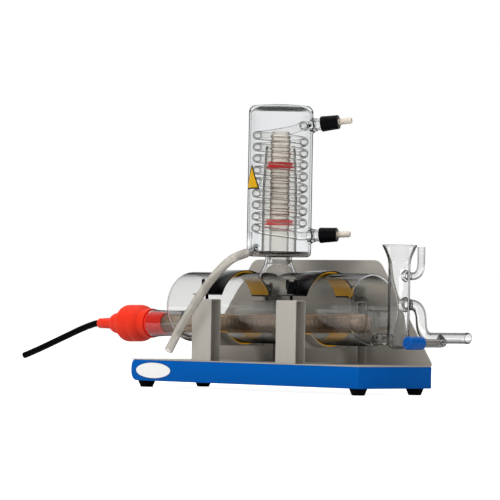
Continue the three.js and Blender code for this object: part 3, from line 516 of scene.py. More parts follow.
# painted shade: each glass's rim colour below darkens its edges where the wall is seen edge on, standing in
# for the dark surroundings a glass wall shows
PAINTED_EDGE_SHADE = (0.03, 0.03, 0.03)
GLASS = glass("borosilicate_glass", (0.965, 0.967, 0.963), (PAINTED_EDGE_SHADE, 0.50, 0.88))
JACKET_GLASS = glass("jacket_glass", (0.955, 0.96, 0.963), ((0.015, 0.015, 0.015), 0.68, 0.86), index=1.35)
TUBING_GLASS = glass("tubing_glass", (0.95, 0.952, 0.95), ((0.10, 0.10, 0.10), 0.40, 0.80))
SLEEVE_GLASS = glass("sleeve_glass", (0.965, 0.96, 0.95), ((0.05, 0.035, 0.02), 0.50, 0.80), index=1.2)
COIL_GLASS = glass("coil_glass", (0.98, 0.98, 0.975), ((0.14, 0.13, 0.12), 0.60, 0.95), index=1.14, wave=0.02)
# painted reflection: the riser's banded body paints the silver and brown reflections of its beads into its
# colour
RISER_GLASS = glass("riser_glass", (0.985, 0.97, 0.945), ((0.12, 0.07, 0.035), 0.22, 0.75), roughness=0.02,
                    index=1.25, body=(0.92, 0.88, 0.82), body_share=0.5, band_pitch=8)
SILICA = glass("silica_sheath", (0.94, 0.86, 0.76), ((0.30, 0.22, 0.16), 0.45, 0.9), roughness=0.12,
               index=1.2, body=(0.50, 0.38, 0.28), body_share=0.25)
HOSE = glass("hose_silicone", (0.96, 0.945, 0.92), ((0.35, 0.32, 0.28), 0.3, 0.85), roughness=0.12, index=1.3,
             body=(0.72, 0.69, 0.62), body_share=0.35)


# ---------------------------------------------------------------- stand


def base_tray():
    """Folded tray, open at the top under the deck, its left end swelling outwards."""
    half, wall = BASE_LENGTH / 2, 2
    side = BASE_DEPTH / 2 - wall
    quarter = [math.pi / 2 * k / 10 for k in range(11)]
    top = [(-half + 7 * (1 - math.sin(t)), TRAY_TOP - 13 * (1 - math.cos(t))) for t in quarter]
    low = [(-half + 12 * (1 - math.cos(t)), FOOT_HEIGHT + 15 * (1 - math.sin(t))) for t in quarter]
    outline = [(half, FOOT_HEIGHT), (half, TRAY_TOP)] + top + low
    tray = link_mesh("blue_base_tray", *prism(outline, "Y", -BASE_DEPTH / 2, BASE_DEPTH / 2), BLUE_PAINT)
    soften(tray, 1.2, 3)
    room = [(-half + 14, -side), (half - wall, -side), (half - wall, side), (-half + 14, side)]
    boolean(tray, [prism(room, "Z", FOOT_HEIGHT + wall, TRAY_TOP + 5)], "DIFFERENCE")
    shade(tray, 38)
    mount(tray, "stand", "blue_paint", "base_tray")


def deck_and_panel():
    """One bent sheet: a flat deck and a back panel with slanting sides and rounded top corners."""
    bend = 2
    rear = BASE_DEPTH / 2
    fold = [(-rear, TRAY_TOP)]
    fold += arc(rear - bend, TRAY_TOP + bend, bend, -90, 0, 6)
    fold += [(rear, PANEL_TOP), (rear - SHEET, PANEL_TOP)]
    fold += arc(rear - bend, TRAY_TOP + bend, bend - SHEET, 0, -90, 6)
    fold += [(-rear, TRAY_TOP + SHEET)]
    half = BASE_LENGTH / 2
    top = half - PANEL_INSET
    low = TRAY_TOP + 3 * bend
    corner = 12
    right = [(half, TRAY_TOP - 1), (half, low), (top + 0.57 * corner, PANEL_TOP - 0.82 * corner)]
    start = Vector(right[-1])
    tip = Vector((top, PANEL_TOP))
    finish = Vector((top - corner, PANEL_TOP))
    for k in range(1, 9):
        t = k / 8
        point = start * (1 - t) ** 2 + tip * 2 * t * (1 - t) + finish * t * t
        right.append((point.x, point.y))
    outline = right + [(-x, z) for x, z in reversed(right)]
    sheet = link_mesh("deck_and_panel_sheet", *prism(fold, "X", -half, half), STEEL)
    boolean(sheet, [prism(outline, "Y", -rear - 5, rear + 5)], "INTERSECT")
    soften(sheet, 0.3, 2)
    mount(sheet, "stand", "stainless_sheet", "deck_and_back_panel")


def feet():
    """Tapered rubber feet, each held by a screw from inside the tray."""
    seat = 4
    foot = [(0, 0), (9.2, 0), (9.8, 0.5), (13.6, FOOT_HEIGHT - 0.5), (13.6, FOOT_HEIGHT), (2.3, FOOT_HEIGHT),
            (2.3, seat), (0, seat)]
    head = FOOT_HEIGHT + 2.1
    screw = [(0, seat + 0.7), (2, seat + 0.7), (2, head), (3.9, head), (3.9, head + 1.6), (3.2, head + 2.4),
             (0, head + 2.5)]
    for where, sx, sy in CORNERS:
        spot = Matrix.Translation((sx * FOOT_X, sy * FOOT_Y, 0))
        turned(f"rubber_foot_{where}", foot, 48, spot, BLACK_RUBBER, "stand", "rubber_black", f"foot_{where}")
        turned(f"screw_of_foot_{where}", screw, 24, spot, FASTENER, "stand", "fastener_steel",
               f"foot_screw_{where}")


def oval(rx, rz, cx, cz, steps=72):
    """Closed outline of an upright oval."""
    return [(cx + rx * math.cos(2 * math.pi * k / steps), cz + rz * math.sin(2 * math.pi * k / steps))
            for k in range(steps)]


def badge():
    """Plain white oval plate with a raised rim."""
    front = -BASE_DEPTH / 2
    rx, rz = (BADGE_HIGH.x - BADGE_LOW.x) / 2, (BADGE_HIGH.z - BADGE_LOW.z) / 2
    cx, cz = (BADGE_HIGH.x + BADGE_LOW.x) / 2, (BADGE_HIGH.z + BADGE_LOW.z) / 2
    plate = prism(oval(rx - 0.1, rz - 0.1, cx, cz), "Y", front - 0.6, front - 0.1)
    mount(link_mesh("badge_plate", *plate, WHITE), "stand", "badge_white", "oval_badge")
    ring = prism(oval(rx, rz, cx, cz), "Y", front - 0.66, front - 0.12)
    rim = link_mesh("badge_rim", *ring, BADGE_RING)
    boolean(rim, [prism(oval(rx - 1.1, rz - 1.1, cx, cz), "Y", front - 2, front + 2)], "DIFFERENCE")
    shade(rim, 38)
    mount(rim, "stand", "badge_white")


def post_outline():
    """Strip folded over into an outer leg, a top and an inner leg, drawn for a post on the -Y side."""
    bend = 3
    outer, inner = -POST_OUTER_Y, -POST_INNER_Y
    foot = TRAY_TOP + SHEET
    outline = [(outer, foot)]
    outline += arc(outer + bend, POST_TOP - bend, bend, 180, 90, 6)
    outline += arc(inner - bend, POST_TOP - bend, bend, 90, 0, 6)
    outline += [(inner, foot), (inner - SHEET, foot)]
    outline += arc(inner - bend, POST_TOP - bend, bend - SHEET, 0, 90, 6)
    outline += arc(outer + bend, POST_TOP - bend, bend - SHEET, 90, 180, 6)
    outline += [(outer + SHEET, foot)]
    return outline


def arc_band(inner, outer, start, end, steps=48):
    """Outline of a curved sheet round the boiler's axis."""
    return arc(0, BOILER_AXIS_Z, outer, start, end, steps) + arc(0, BOILER_AXIS_Z, inner, end, start, steps)


LINER_INSET = 3
STRAP_INNER = BOILER_RADIUS + 2.6
SADDLE_INNER = BOILER_RADIUS + 2.4
STUD_HOLE = 2.8


def strap_outline():
    """Band over the boiler with a flat tab at each side."""
    outer = STRAP_INNER + SHEET
    outer_start = math.degrees(math.asin((TAB_HIGH - BOILER_AXIS_Z) / outer))
    inner_start = math.degrees(math.asin((TAB_LOW - BOILER_AXIS_Z) / STRAP_INNER))
    tab = POST_OUTER_Y - 0.8
    strap = [(tab, TAB_LOW), (tab, TAB_HIGH)]
    strap += arc(0, BOILER_AXIS_Z, outer, outer_start, 180 - outer_start, 56)
    strap += [(-tab, TAB_HIGH), (-tab, TAB_LOW)]
    strap += arc(0, BOILER_AXIS_Z, STRAP_INNER, 180 - inner_start, inner_start, 56)
    return strap


def rib_outline():
    """Upright web under the saddle, between the posts."""
    low = BOILER_AXIS_Z - SADDLE_INNER - SHEET - 0.6
    high = BOILER_AXIS_Z - SADDLE_INNER * math.cos(math.radians(48))
    rib = [(-POST_INNER_Y, low), (POST_INNER_Y, low), (POST_INNER_Y, high)]
    rib += arc(0, BOILER_AXIS_Z, SADDLE_INNER + SHEET / 2, -42, -138, 48)
    rib += [(-POST_INNER_Y, high)]
    return rib


def lining(name, outline, low, high, part):
    """Amber sheet inside a saddle or strap, a little narrower than it."""
    sheet = link_mesh(name, *prism(outline, "X", low + LINER_INSET, high - LINER_INSET), AMBER)
    mount(soften(sheet, 0.4), "stand", "amber_liner", part)


def saddles_and_straps():
    """Cradle, strap and amber linings at each end of the boiler."""
    half = POST_WIDTH / 2
    inside = BOILER_RADIUS + 0.3
    cradle = arc_band(SADDLE_INNER, SADDLE_INNER + SHEET, -138, -42)
    pad = arc_band(inside, SADDLE_INNER - 0.1, -138, -42)
    liner = arc_band(inside, STRAP_INNER - 0.1, 23, 157)
    for side, sx in (("left", -1), ("right", 1)):
        middle = sx * POST_X
        low, high = middle - half, middle + half
        saddle = link_mesh(f"saddle_sheet_{side}", *prism(cradle, "X", low, high), STEEL)
        boolean(saddle, [prism(rib_outline(), "X", middle - SHEET, middle + SHEET)], "UNION")
        soften(saddle, 0.3)
        mount(saddle, "stand", "stainless_sheet", f"saddle_{side}")
        lining(f"saddle_lining_{side}", pad, low, high, f"saddle_pad_{side}")
        band = link_mesh(f"boiler_strap_{side}", *prism(strap_outline(), "X", low, high), BLACK_GLOSS)
        spots = [Matrix.Translation((middle, y * STUD_Y, 0)) for y in (-1, 1)]
        holes = [plug(STUD_HOLE, TAB_LOW - 5, TAB_HIGH + 5, 24, spot) for spot in spots]
        boolean(soften(band, 0.3), holes, "DIFFERENCE")
        shade(band, 38)
        mount(band, "stand", "strap_black", f"strap_{side}")
        lining(f"strap_lining_{side}", liner, low, high, f"strap_liner_{side}")


def posts():
    """Four folded posts, each with a hole for its stud."""
    half = POST_WIDTH / 2
    for where, sx, sy in CORNERS:
        outline = [(-sy * y, z) for y, z in post_outline()]
        middle = sx * POST_X
        folded = prism(outline, "X", middle - half, middle + half)
        body = link_mesh(f"folded_post_{where}", *folded, POST_STEEL)
        soften(body, 0.35)
        spot = Matrix.Translation((middle, sy * STUD_Y, 0))
        boolean(body, [plug(STUD_HOLE, POST_TOP - 5, POST_TOP + 5, 24, spot)], "DIFFERENCE")
        shade(body, 38)
        mount(body, "stand", "stainless_sheet", f"post_{where}")


def strap_fasteners():
    """Threaded stud, plain washer and wing nut at each corner."""
    core, crest, tip, pitch = 2.15, 2.5, 166, 0.8
    head = POST_TOP - 5.2
    stud = [(0, head), (4.2, head), (4.6, head + 0.4), (4.6, head + 3.6), (crest, head + 3.6)]
    height = POST_TOP + 1
    while height < tip - 0.5:
        stud += [(crest, height), (core, height + pitch / 2)]
        height += pitch
    stud += [(crest, tip), (2.1, tip + 1), (0, tip + 1)]
    bore = STUD_HOLE
    seat = TAB_HIGH + 0.1
    washer = [(bore, seat), (5.8, seat), (6, seat + 0.2), (6, seat + 0.8), (5.8, seat + 1), (bore, seat + 1),
              (bore, seat)]
    low = TAB_HIGH + 1.2
    hub = [(0, low), (6.4, low), (6.9, low + 0.6), (6.9, low + 8.5), (6.2, low + 10), (5.3, low + 18.3),
           (4.6, low + 19), (0, low + 19)]
    wings = [(-11, low + 8), (-7, low + 5), (7, low + 5), (11, low + 8), (11, low + 21), (7, low + 22.5),
             (4, low + 14), (-4, low + 14), (-7, low + 22.5), (-11, low + 21)]
    for where, sx, sy in CORNERS:
        spot = Matrix.Translation((sx * POST_X, sy * STUD_Y, 0))
        turned(f"threaded_stud_{where}", stud, 20, spot, BLACK_PLASTIC, "stand", "stud_black",
               f"strap_stud_{where}", smooth=60)
        turned(f"plain_washer_{where}", washer, 32, spot, FASTENER, "stand", "fastener_steel",
               f"strap_washer_{where}")
        nut = link_mesh(f"wing_nut_body_{where}", *prism(wings, "Y", -2, 2, spot), BLACK_PLASTIC)
        soften(nut, 1.2, 3)
        boolean(nut, [lathe(hub, 40, spot)], "UNION")
        boolean(nut, [plug(bore, low - 1, low + 30, 24, spot)], "DIFFERENCE")
        shade(nut, 38)
        mount(nut, f"wing_nut_{where}", "black_plastic", f"wing_nut_{where}")


# ---------------------------------------------------------------- boiler and feeder glass

def drum(radius, left, right, shoulder, dome, steps=10):
    """Outline of a cylinder along X with rounded shoulders and slightly domed ends."""
    flat = radius - shoulder
    ends = []
    for position, inward in ((left, 1), (right, -1)):
        end = [(flat * k / 4, position + inward * dome * (k / 4) ** 2) for k in range(5)]
        end += [(flat + shoulder * math.sin(t), position + inward * (dome + shoulder * (1 - math.cos(t))))
                for t in (math.pi / 2 * k / steps for k in range(1, steps + 1))]
        ends.append(end)
    return ends[0] + ends[1][::-1]


def smooth_outline(points, steps=6):
    """Smooths the free run of an [r, z] outline between its first and last point."""
    return [(max(0.0, p[0]), p[1]) for p in flowing(points, steps)]


def boiler():
    """Vessel with the condenser neck on top, the heater neck at the left and the feed port at the right."""
    dome, shoulder, wall = 3, BOILER_SHOULDER, 2.5
    neck_spot = Matrix.Translation((NECK_X, 0, 0))
    x_axis = along_x(BOILER_AXIS_Z)
    outer = lathe(drum(BOILER_RADIUS, BOILER_LEFT, BOILER_RIGHT, shoulder, dome), 128, x_axis)
    hollow = drum(BOILER_RADIUS - wall, BOILER_LEFT + wall, BOILER_RIGHT - wall, shoulder - wall, dome)
    inner = lathe(hollow, 128, x_axis)
    flare = [(33, 168), (31, 179), (26.5, 187), (22.6, 195), (21, 202), (21, NECK_TOP)]
    neck = [(0, 168)] + smooth_outline(flare) + [(0, NECK_TOP)]
    above = NECK_TOP + 4
    flare = [(31, 160), (28.3, 178), (23.4, 187), (19.4, 195), (18, 201), (18, above)]
    neck_bore = [(0, 160)] + smooth_outline(flare) + [(0, above)]
    mouth = HEATER_NECK_END
    heater_axis = along_x(HEATER_Z, HEATER_TILT)
    lip = [(22.1, mouth + 0.6), (22.1, mouth + 3.4), (21.6, mouth + 6), (20.4, -249), (20.2, -214)]
    lip += [(22, -203), (24, -197)]
    side = [(0, mouth), (21.6, mouth)] + smooth_outline(lip) + [(0, -190)]
    taper = [(20.5, mouth - 5), (20.2, mouth), (18, -249), (17.9, -212), (20, -200), (21.4, -186)]
    side_bore = [(0, mouth - 5)] + smooth_outline(taper) + [(0, -186)]
    port_axis = along_x(FEED_PORT_Z)
    port = [(0, 190)] + smooth_outline([(10.6, 190), (10.4, 203), (8.3, 211), (8, 217)])
    port += [(8, FEED_SEAM_X - 4), (8.7, FEED_SEAM_X - 2), (8.7, FEED_SEAM_X), (0, FEED_SEAM_X)]
    outsides = [outer, lathe(neck, 96, neck_spot), lathe(side, 96, heater_axis), lathe(port, 48, port_axis)]
    insides = [inner, lathe(neck_bore, 96, neck_spot), lathe(side_bore, 96, heater_axis),
               plug(6, 185, FEED_SEAM_X + 5, 48, port_axis)]
    vessel = fused("boiler_glass", outsides, insides, GLASS)
    mount(vessel, "stand", "borosilicate_glass", "boiler_vessel")


def feeder():
    """Funnel column with an inlet, an overflow to waste, a drain barrel and a link to the boiler."""
    spot = Matrix.Translation((FEEDER_X, 0, 0))
    rim = FEEDER_RIM
    valve = VALVE_X - FEEDER_X

    def tube(points, radius, sides):
        return sweep([spot @ Vector(point) for point in points], radius, sides)

    def rib(point):
        near = INLET_TOP - point.z
        ribbed = 2 < near < 13 and point.y > 40
        return 0.3 * max(0.0, math.cos(near * 2 * math.pi / 5)) if ribbed else 0.0

    column = smooth_outline([(0, 70), (9, 71), (14.6, 75), (16.5, 82)])
    column += smooth_outline([(16.5, rim - 30), (18.2, rim - 20), (22, rim - 10), (25.6, rim - 2.5)])
    column += [(26.4, rim - 1), (26.2, rim - 0.2), (25.6, rim), (0, rim)]
    bore = smooth_outline([(0, 72), (8, 73), (12.8, 77), (14.5, 83)])
    flare = [(14.5, rim - 29), (16.4, rim - 19), (20.3, rim - 9), (24, rim - 1.5), (25, rim + 2)]
    bore += smooth_outline(flare)
    bore += [(0, rim + 2)]
    inlet_corners = [(0, 6, INLET_Z), (0, 48, INLET_Z), (0, 48, INLET_TOP)]
    inlet = bent(inlet_corners, 20)
    fine_inlet = bent(inlet_corners, 20, spacing=0.7)
    overflow = bent([(0, 6, OVERFLOW_Z), (0, 48, OVERFLOW_Z), (0, 52, WASTE_Z), (0, WASTE_END, WASTE_Z)], 22)
    drain = bent([(valve, 12, VALVE_Z), (valve, 68, VALVE_Z), (3, 88, WASTE_Z)], 9, spacing=4)
    link = bent([(1, 4, VALVE_Z + 1), (3, 32, VALVE_Z), (valve, 47, VALVE_Z)], 10, spacing=4)
    waste_sizes = [8.7 if point.y > WASTE_END - 5 else 8.2 for point in overflow]
    seam = FEED_SEAM_X
    port_axis = along_x(FEED_PORT_Z)
    stub = [(0, seam + 0.3), (8.7, seam + 0.3), (8.7, seam + 2), (8, seam + 4), (8, FEEDER_X - 8),
            (0, FEEDER_X - 8)]
    inlet_seal = [(0, 12), (10, 12), (9, 17.5), (7.6, 20.5), (0, 22)]
    overflow_seal = [(0, 12), (12.6, 12), (11.4, 17), (9, 22), (0, 24)]
    inlet_sizes = [5.8 + rib(point) for point in fine_inlet]
    outsides = [lathe(column, 96, spot), lathe(stub, 48, port_axis), tube(fine_inlet, inlet_sizes, 40),
                tube(overflow, waste_sizes, 48), tube(drain, 6.4, 32), tube(link, 5.4, 32),
                lathe(inlet_seal, 32, along_y(FEEDER_X, INLET_Z)),
                lathe(overflow_seal, 40, along_y(FEEDER_X, OVERFLOW_Z))]
    longer_inlet = inlet + [inlet[-1] + Vector((0, 0, 4))]
    longer_waste = overflow + [overflow[-1] + Vector((0, 4, 0))]
    insides = [lathe(bore, 96, spot), plug(6, seam - 3, FEEDER_X - 6, 48, port_axis),
               tube(longer_inlet, 4.3, 32), tube(longer_waste, 6.6, 40), tube(drain[:-1], 4.5, 24),
               tube(link[:-1], 3.6, 24), plug(4.5, 7, 20, 32, along_y(VALVE_X, VALVE_Z))]
    vessel = fused("feeder_glass", outsides, insides, TUBING_GLASS)
    mount(vessel, "stand", "borosilicate_glass", "level_feeder")


def drain_valve():
    """Blue knob with its button, on a spindle that runs into the drain barrel."""
    front, rear, web = -13, 21, 6
    axis = along_y(VALVE_X, VALVE_Z)
    spindle = [(0, front + 1), (4, front + 1), (4, 52), (2.2, 58), (0, 58)]
    turned("valve_spindle", spindle, 40, axis, BEIGE, "drain_spindle", "beige_plastic", "drain_spindle")
    knob = [(4.3, front)] + arc(7.0, front + 3, 3, -90, -20, 5) + [(10, front + 6)]
    knob += arc(8.2, rear - 3, 1.8, 0, 40, 3) + arc(7.4, rear - 1.2, 1.2, 30, 90, 3)
    knob += [(7.2, rear), (7.2, web), (4.3, web), (4.3, front)]
    turned("valve_knob", knob, 64, axis, KNOB_BLUE, "drain_knob", "blue_plastic", "drain_knob")
    button = [(0, front - 1), (2.6, front - 0.8), (3.8, front - 0.2), (3.9, front + 0.9), (0, front + 0.9)]
    turned("valve_knob_button", button, 40, axis, KNOB_BLUE, "drain_knob", "blue_plastic")


# ---------------------------------------------------------------- condenser

def port_matrix(z, tilt_degrees):
    """Frame of a water port: local Z points out along the port from the condenser axis."""
    tilt = math.radians(tilt_degrees)
    start = z - JACKET_RADIUS * math.tan(tilt)
    return (Matrix.Translation((NECK_X, 0, start)) @ Matrix.Rotation(PORT_ANGLE, 4, "Z")
            @ Matrix.Rotation(math.pi / 2 - tilt, 4, "Y"))


UPPER = port_matrix(412.5, 7)
LOWER_PORT_Z = 241.2
LOWER = port_matrix(LOWER_PORT_Z, 3)
UPRIGHT = Matrix.Translation((NECK_X, 0, 0))
ARM_ROOT = Vector((NECK_X, -44, 220))
ARM_TIP = Vector((NECK_X, -88, 207.4))
ARM_DIRECTION = (ARM_TIP - ARM_ROOT).normalized()
RISER_BEADS_LOW = 248
HOSE_OVERLAP = 18.5
HOSE_SHORT_BEND = 13
HOSE_LONG_BEND_CORNER = Vector((NECK_X - 72, -98, 160))
HOSE_END = Vector((NECK_X - 144, -95.5, 59))


def jacket_outline(inset):
    """Half section of the jacket; the inset gives its inner wall."""
    r = JACKET_RADIUS - inset
    low = JACKET_BOTTOM + inset
    high = JACKET_TOP - inset
    foot, shoulder, crown, turn = 7, 11, 2.2, 68
    outline = [(0, low)] + arc(r - foot, low + foot, foot, -90, 0, 8)
    outline += arc(r - shoulder, high - 12.4, shoulder, 0, turn, 9)
    reach = r - shoulder + shoulder * math.cos(math.radians(turn))
    outline += [(reach * (1 - t), high - crown + crown * (1 - (1 - t) ** 2)) for t in (0.2, 0.45, 0.7)]
    return outline + [(0, high)]


def jacket():
    """Jacket with two threaded water ports, the tail in the boiler neck, the distillate arm and a vent."""
    stubs, bores = [], []
    root, pitch = 9.4, 3
    ridge = [(root, 0), (9.7, 0.7), (9.7, 1.3), (9.0, 2.0), (9.0, 2.9)]
    thread = [(root, 66)]
    for k in range(6):
        thread += [(radius, 66 + pitch * k + along) for radius, along in ridge]
    stub = [(0, 44)] + smooth_outline([(14.5, 44), (13.2, 50), (10.6, 55), (root, 60)]) + thread
    stub += [(9.2, 86), (0, 86)]
    for matrix in (UPPER, LOWER):
        stubs.append(lathe(stub, 56, matrix))
        bores.append(plug(7.6, 38, 90, 40, matrix))
    steps = 60
    arm_length = 45.8
    arm_points = [ARM_ROOT.lerp(ARM_TIP, k / steps) for k in range(steps + 1)]
    arm_sizes = []
    for k in range(steps + 1):
        distance = arm_length * k / steps
        barb = 0.5 * (1 - ((arm_length - distance) % 5) / 5)
        arm_sizes.append(4.7 + (barb if distance > 30 else 0.2))
    flare_points = [ARM_ROOT + ARM_DIRECTION * d for d in (0, 3, 5, 7, 9, 11)]
    vent = Matrix.Translation((NECK_X, -64, 0))
    inside = JACKET_BOTTOM + 1
    tail = [(0, 197), (16.9, 197), (17.2, 197.4), (17.2, inside), (0, inside)]
    chimney = [(0, 212), (4.6, 212), (4, 217), (4, 244.2), (3.6, 245), (0, 245)]
    outsides = [lathe(jacket_outline(0), 144, UPRIGHT), lathe(tail, 96, UPRIGHT), *stubs,
                sweep(arm_points, arm_sizes, 40), sweep(flare_points, [9.5, 9, 8.2, 7, 5.8, 5.0], 40),
                lathe(chimney, 32, vent)]
    past = [ARM_ROOT - ARM_DIRECTION * 2, ARM_TIP + ARM_DIRECTION * 4]
    tail_bore = plug(15.4, 190, JACKET_BOTTOM + 6, 96, UPRIGHT)
    insides = [lathe(jacket_outline(2.5), 144, UPRIGHT), tail_bore, *bores, sweep(past, 3.2, 32),
               plug(2.5, 214, 250, 24, vent)]
    shell = fused("jacket_glass", outsides, insides, JACKET_GLASS)
    mount(shell, "condenser", "borosilicate_glass", "condenser_jacket")


def coil_points():
    """Centre line of the coil: in at the upper port, down the turns and out at the lower port."""
    left = -135
    port = math.degrees(PORT_ANGLE)
    gap = 38
    step = 22.5

    def helix(degrees, z):
        turn = math.radians(degrees)
        return Vector((NECK_X + COIL_RADIUS * math.cos(turn), COIL_RADIUS * math.sin(turn), z))

    def tail(matrix, side):
        return [matrix @ Vector((0, side * sideways, distance))
                for sideways, distance in ((0, 63), (0, 54), (0, 45), (2.2, 38.6), (9, 35.4))]

    points = tail(UPPER, 1)
    span = left - (port - 360 + gap)
    for k in range(7):
        share = 1 - k / 7
        points.append(helix(left - span * share, COIL_TOP_Z + 17.5 * share ** 1.5))
    turned = 0.0
    while turned <= 360 * COIL_TURNS:
        points.append(helix(left + turned, COIL_TOP_Z - COIL_PITCH * turned / 360))
        turned += step
    bottom = COIL_TOP_Z - COIL_PITCH * COIL_TURNS
    span = port - gap - left
    for k in range(1, 6):
        points.append(helix(left + span * k / 5, bottom - (bottom - LOWER_PORT_Z - 0.8) * k / 5))
    points += tail(LOWER, -1)[::-1]
    return flowing(points, 4)


def condenser_inside():
    """Coil, beaded steam tube on its plain foot, tapered sleeve and two red spacer rings."""
    coil = link_mesh("coil_tube", *sweep(coil_points(), COIL_TUBE, 28, 5.3), COIL_GLASS, 60)
    mount(coil, "condenser", "coil_glass", "cooling_coil")
    beads, pitch, wall = 15, 10, 2
    profile = []
    for k in range(beads * 8 + 1):
        swell = abs(math.sin(math.pi * k / 8)) ** 0.8
        profile.append((13.6 + 2.0 * swell, RISER_BEADS_LOW + 2 + pitch * k / 8))
    hollow = [(radius - wall, height) for radius, height in reversed(profile)]
    beaded = profile + [(13.4, 401), (13.1, 401.8), (12.2, 401.8)] + hollow + [profile[0]]
    turned("beaded_steam_tube", beaded, 72, UPRIGHT, RISER_GLASS, "condenser", "riser_glass", "steam_riser",
           smooth=75)
    top = RISER_BEADS_LOW + 1.7
    foot = [(13, 199), (14.8, 199), (14.8, top), (13, top), (13, 199)]
    turned("plain_steam_tube", foot, 72, UPRIGHT, SLEEVE_GLASS, "condenser", "riser_glass")
    outside = smooth_outline([(26.9, 300), (26.6, 318), (25.4, 340), (23, 379)])
    inside = smooth_outline([(21.2, 379), (23.6, 340), (24.8, 318), (25.1, 300)])
    sleeve = [(25.1, 210.8), (26.9, 210.8)] + outside + [(22.7, 380), (21.5, 380)] + inside + [(25.1, 210.8)]
    turned("riser_glass_sleeve", sleeve, 96, UPRIGHT, SLEEVE_GLASS, "condenser", "borosilicate_glass",
           "riser_sleeve")
    inner, lip = 15.9, 0.8
    for where, radius, z in (("upper", 22.2, 350), ("lower", 23.4, 261)):
        ring = [(inner, z - 4)] + arc(radius - lip, z - 3.2, lip, -90, 90, 6) + [(radius - 3, z - 1.6)]
        ring += [(radius - 3, z + 1.6)] + arc(radius - lip, z + 3.2, lip, -90, 90, 6)
        ring += [(inner, z + 4), (inner, z - 4)]
        turned(f"silicone_spacer_{where}", ring, 72, UPRIGHT, RED_SILICONE, "condenser", "red_silicone",
               f"spacer_ring_{where}")


def bent_triangle(half_width, low, high, radius, thickness, centre_degrees=-105):
    """Triangle wrapped round the jacket, point upwards, as a thin closed plate."""
    columns, rows = 24, 24
    verts, faces = [], []
    for layer in (radius, radius + thickness):
        for r in range(rows + 1):
            share = r / rows
            for c in range(columns + 1):
                across = half_width * (1 - share) * (2 * c / columns - 1)
                turn = math.radians(centre_degrees) + across / radius
                height = low + (high - low) * share
                verts.append((NECK_X + layer * math.cos(turn), layer * math.sin(turn), height))
    row = columns + 1
    block = row * (rows + 1)
    for r in range(rows):
        for c in range(columns):
            a = r * row + c
            faces.append((a, a + 1, a + row + 1, a + row))
            faces.append((block + a, block + a + row, block + a + row + 1, block + a + 1))
    edge = [c for c in range(row)] + [r * row + columns for r in range(1, rows + 1)]
    edge += [rows * row + c for c in range(columns - 1, -1, -1)] + [r * row for r in range(rows - 1, 0, -1)]
    for a, b in zip(edge, edge[1:] + edge[:1]):
        faces.append((a, b, block + b, block + a))
    return verts, faces


def label():
    """Plain yellow triangle with a dark border, and nothing written on it."""
    border = bent_triangle(19, 312, 351, JACKET_RADIUS + 0.3, 0.3)
    mount(link_mesh("triangle_border", *border, LABEL_EDGE), "condenser", "label_yellow", "triangle_label")
    face = bent_triangle(15.6, 314.2, 345.6, JACKET_RADIUS + 0.62, 0.15)
    mount(link_mesh("triangle_face", *face, LABEL_YELLOW), "condenser", "label_yellow")


def water_connections():
    """Screw cap with a grooved grip, barbed hose nipple and seal on each water port."""
    cap = [(9.9, 66.5), (11.5, 66.5), (12, 67), (12, 71.5), (11.7, 72), (10.9, 93.2), (10.2, 94), (5.6, 94),
           (5.6, 91.2), (9.9, 91.2), (9.9, 66.5)]
    nipple = [(2.8, 88.6), (8.8, 88.6), (8.8, 90.6), (4.8, 90.6), (4.8, 96)]
    for k in range(3):
        start = 96 + 6 * k
        nipple += [(4.5, start + 0.2), (5.2, start + 1.2), (5.2, start + 1.6), (4.4, start + 5.8)]
    nipple += [(4.3, 114.6), (3.9, 115), (3.1, 115), (2.8, 114.7), (2.8, 88.6)]
    seal = [(3, 86.2), (8.8, 86.2), (8.8, 88.4), (3, 88.4), (3, 86.2)]
    grooves = 24
    for where, matrix in (("upper", UPPER), ("lower", LOWER)):
        body = link_mesh(f"screw_cap_{where}", *lathe(cap, 64, matrix), BLACK_PLASTIC)
        for k in range(grooves):
            turn = Matrix.Rotation(2 * math.pi * k / grooves, 4, "Z")
            groove = plug(0.55, 73, 92, 8, matrix @ turn @ Matrix.Translation((11.75, 0, 0)))
            boolean(body, [groove], "DIFFERENCE")
        shade(body, 38)
        mount(body, f"{where}_cap", "black_plastic", f"port_cap_{where}")
        connector = f"{where}_connector"
        turned(f"hose_nipple_{where}", nipple, 48, matrix, BEIGE, connector, "beige_plastic",
               f"port_nipple_{where}", smooth=25)
        turned(f"seal_washer_{where}", seal, 40, matrix, WHITE, connector, "white_plastic",
               f"port_seal_{where}")


def hose():
    """Pushed over the arm, turned left in one short bend, then hanging in one long bend."""
    corner = ARM_TIP + ARM_DIRECTION * HOSE_SHORT_BEND
    bend_end = corner + (HOSE_LONG_BEND_CORNER - corner).normalized() * HOSE_SHORT_BEND
    path = [ARM_TIP + ARM_DIRECTION * (d - HOSE_OVERLAP) for d in range(int(HOSE_OVERLAP))]
    path += bezier([ARM_TIP, corner, bend_end], 20)
    path += bezier([bend_end, HOSE_LONG_BEND_CORNER, HOSE_END], 100)[1:]
    barbs, barb_width = (2.5, 9.0, 15.5), 1.6
    sizes = []
    travelled = 0.0
    for before, here in zip([path[0]] + path, path):
        travelled += (here - before).length
        # the tube swells over the barbs of the glass arm
        swell = sum(math.exp(-((travelled - barb) / barb_width) ** 2) for barb in barbs)
        sizes.append(6.75 + 0.42 * min(1.0, swell))
    tube = link_mesh("distillate_tube", *sweep(path, sizes, 40, 5.5), HOSE, 60)
    mount(tube, "hose", "hose_silicone", "distillate_hose")


# ---------------------------------------------------------------- heater

HEATER_AXIS = along_x(HEATER_Z, HEATER_TILT)
HEATER_LAY = Matrix.Translation((0, 0, HEATER_Z)) @ Matrix.Rotation(-HEATER_TILT, 4, "Y")


def heater_part(name, outline, sides, material, slot, part, smooth=38):
    turned(name, outline, sides, HEATER_AXIS, material, "heater_assembly", slot, part, smooth=smooth)


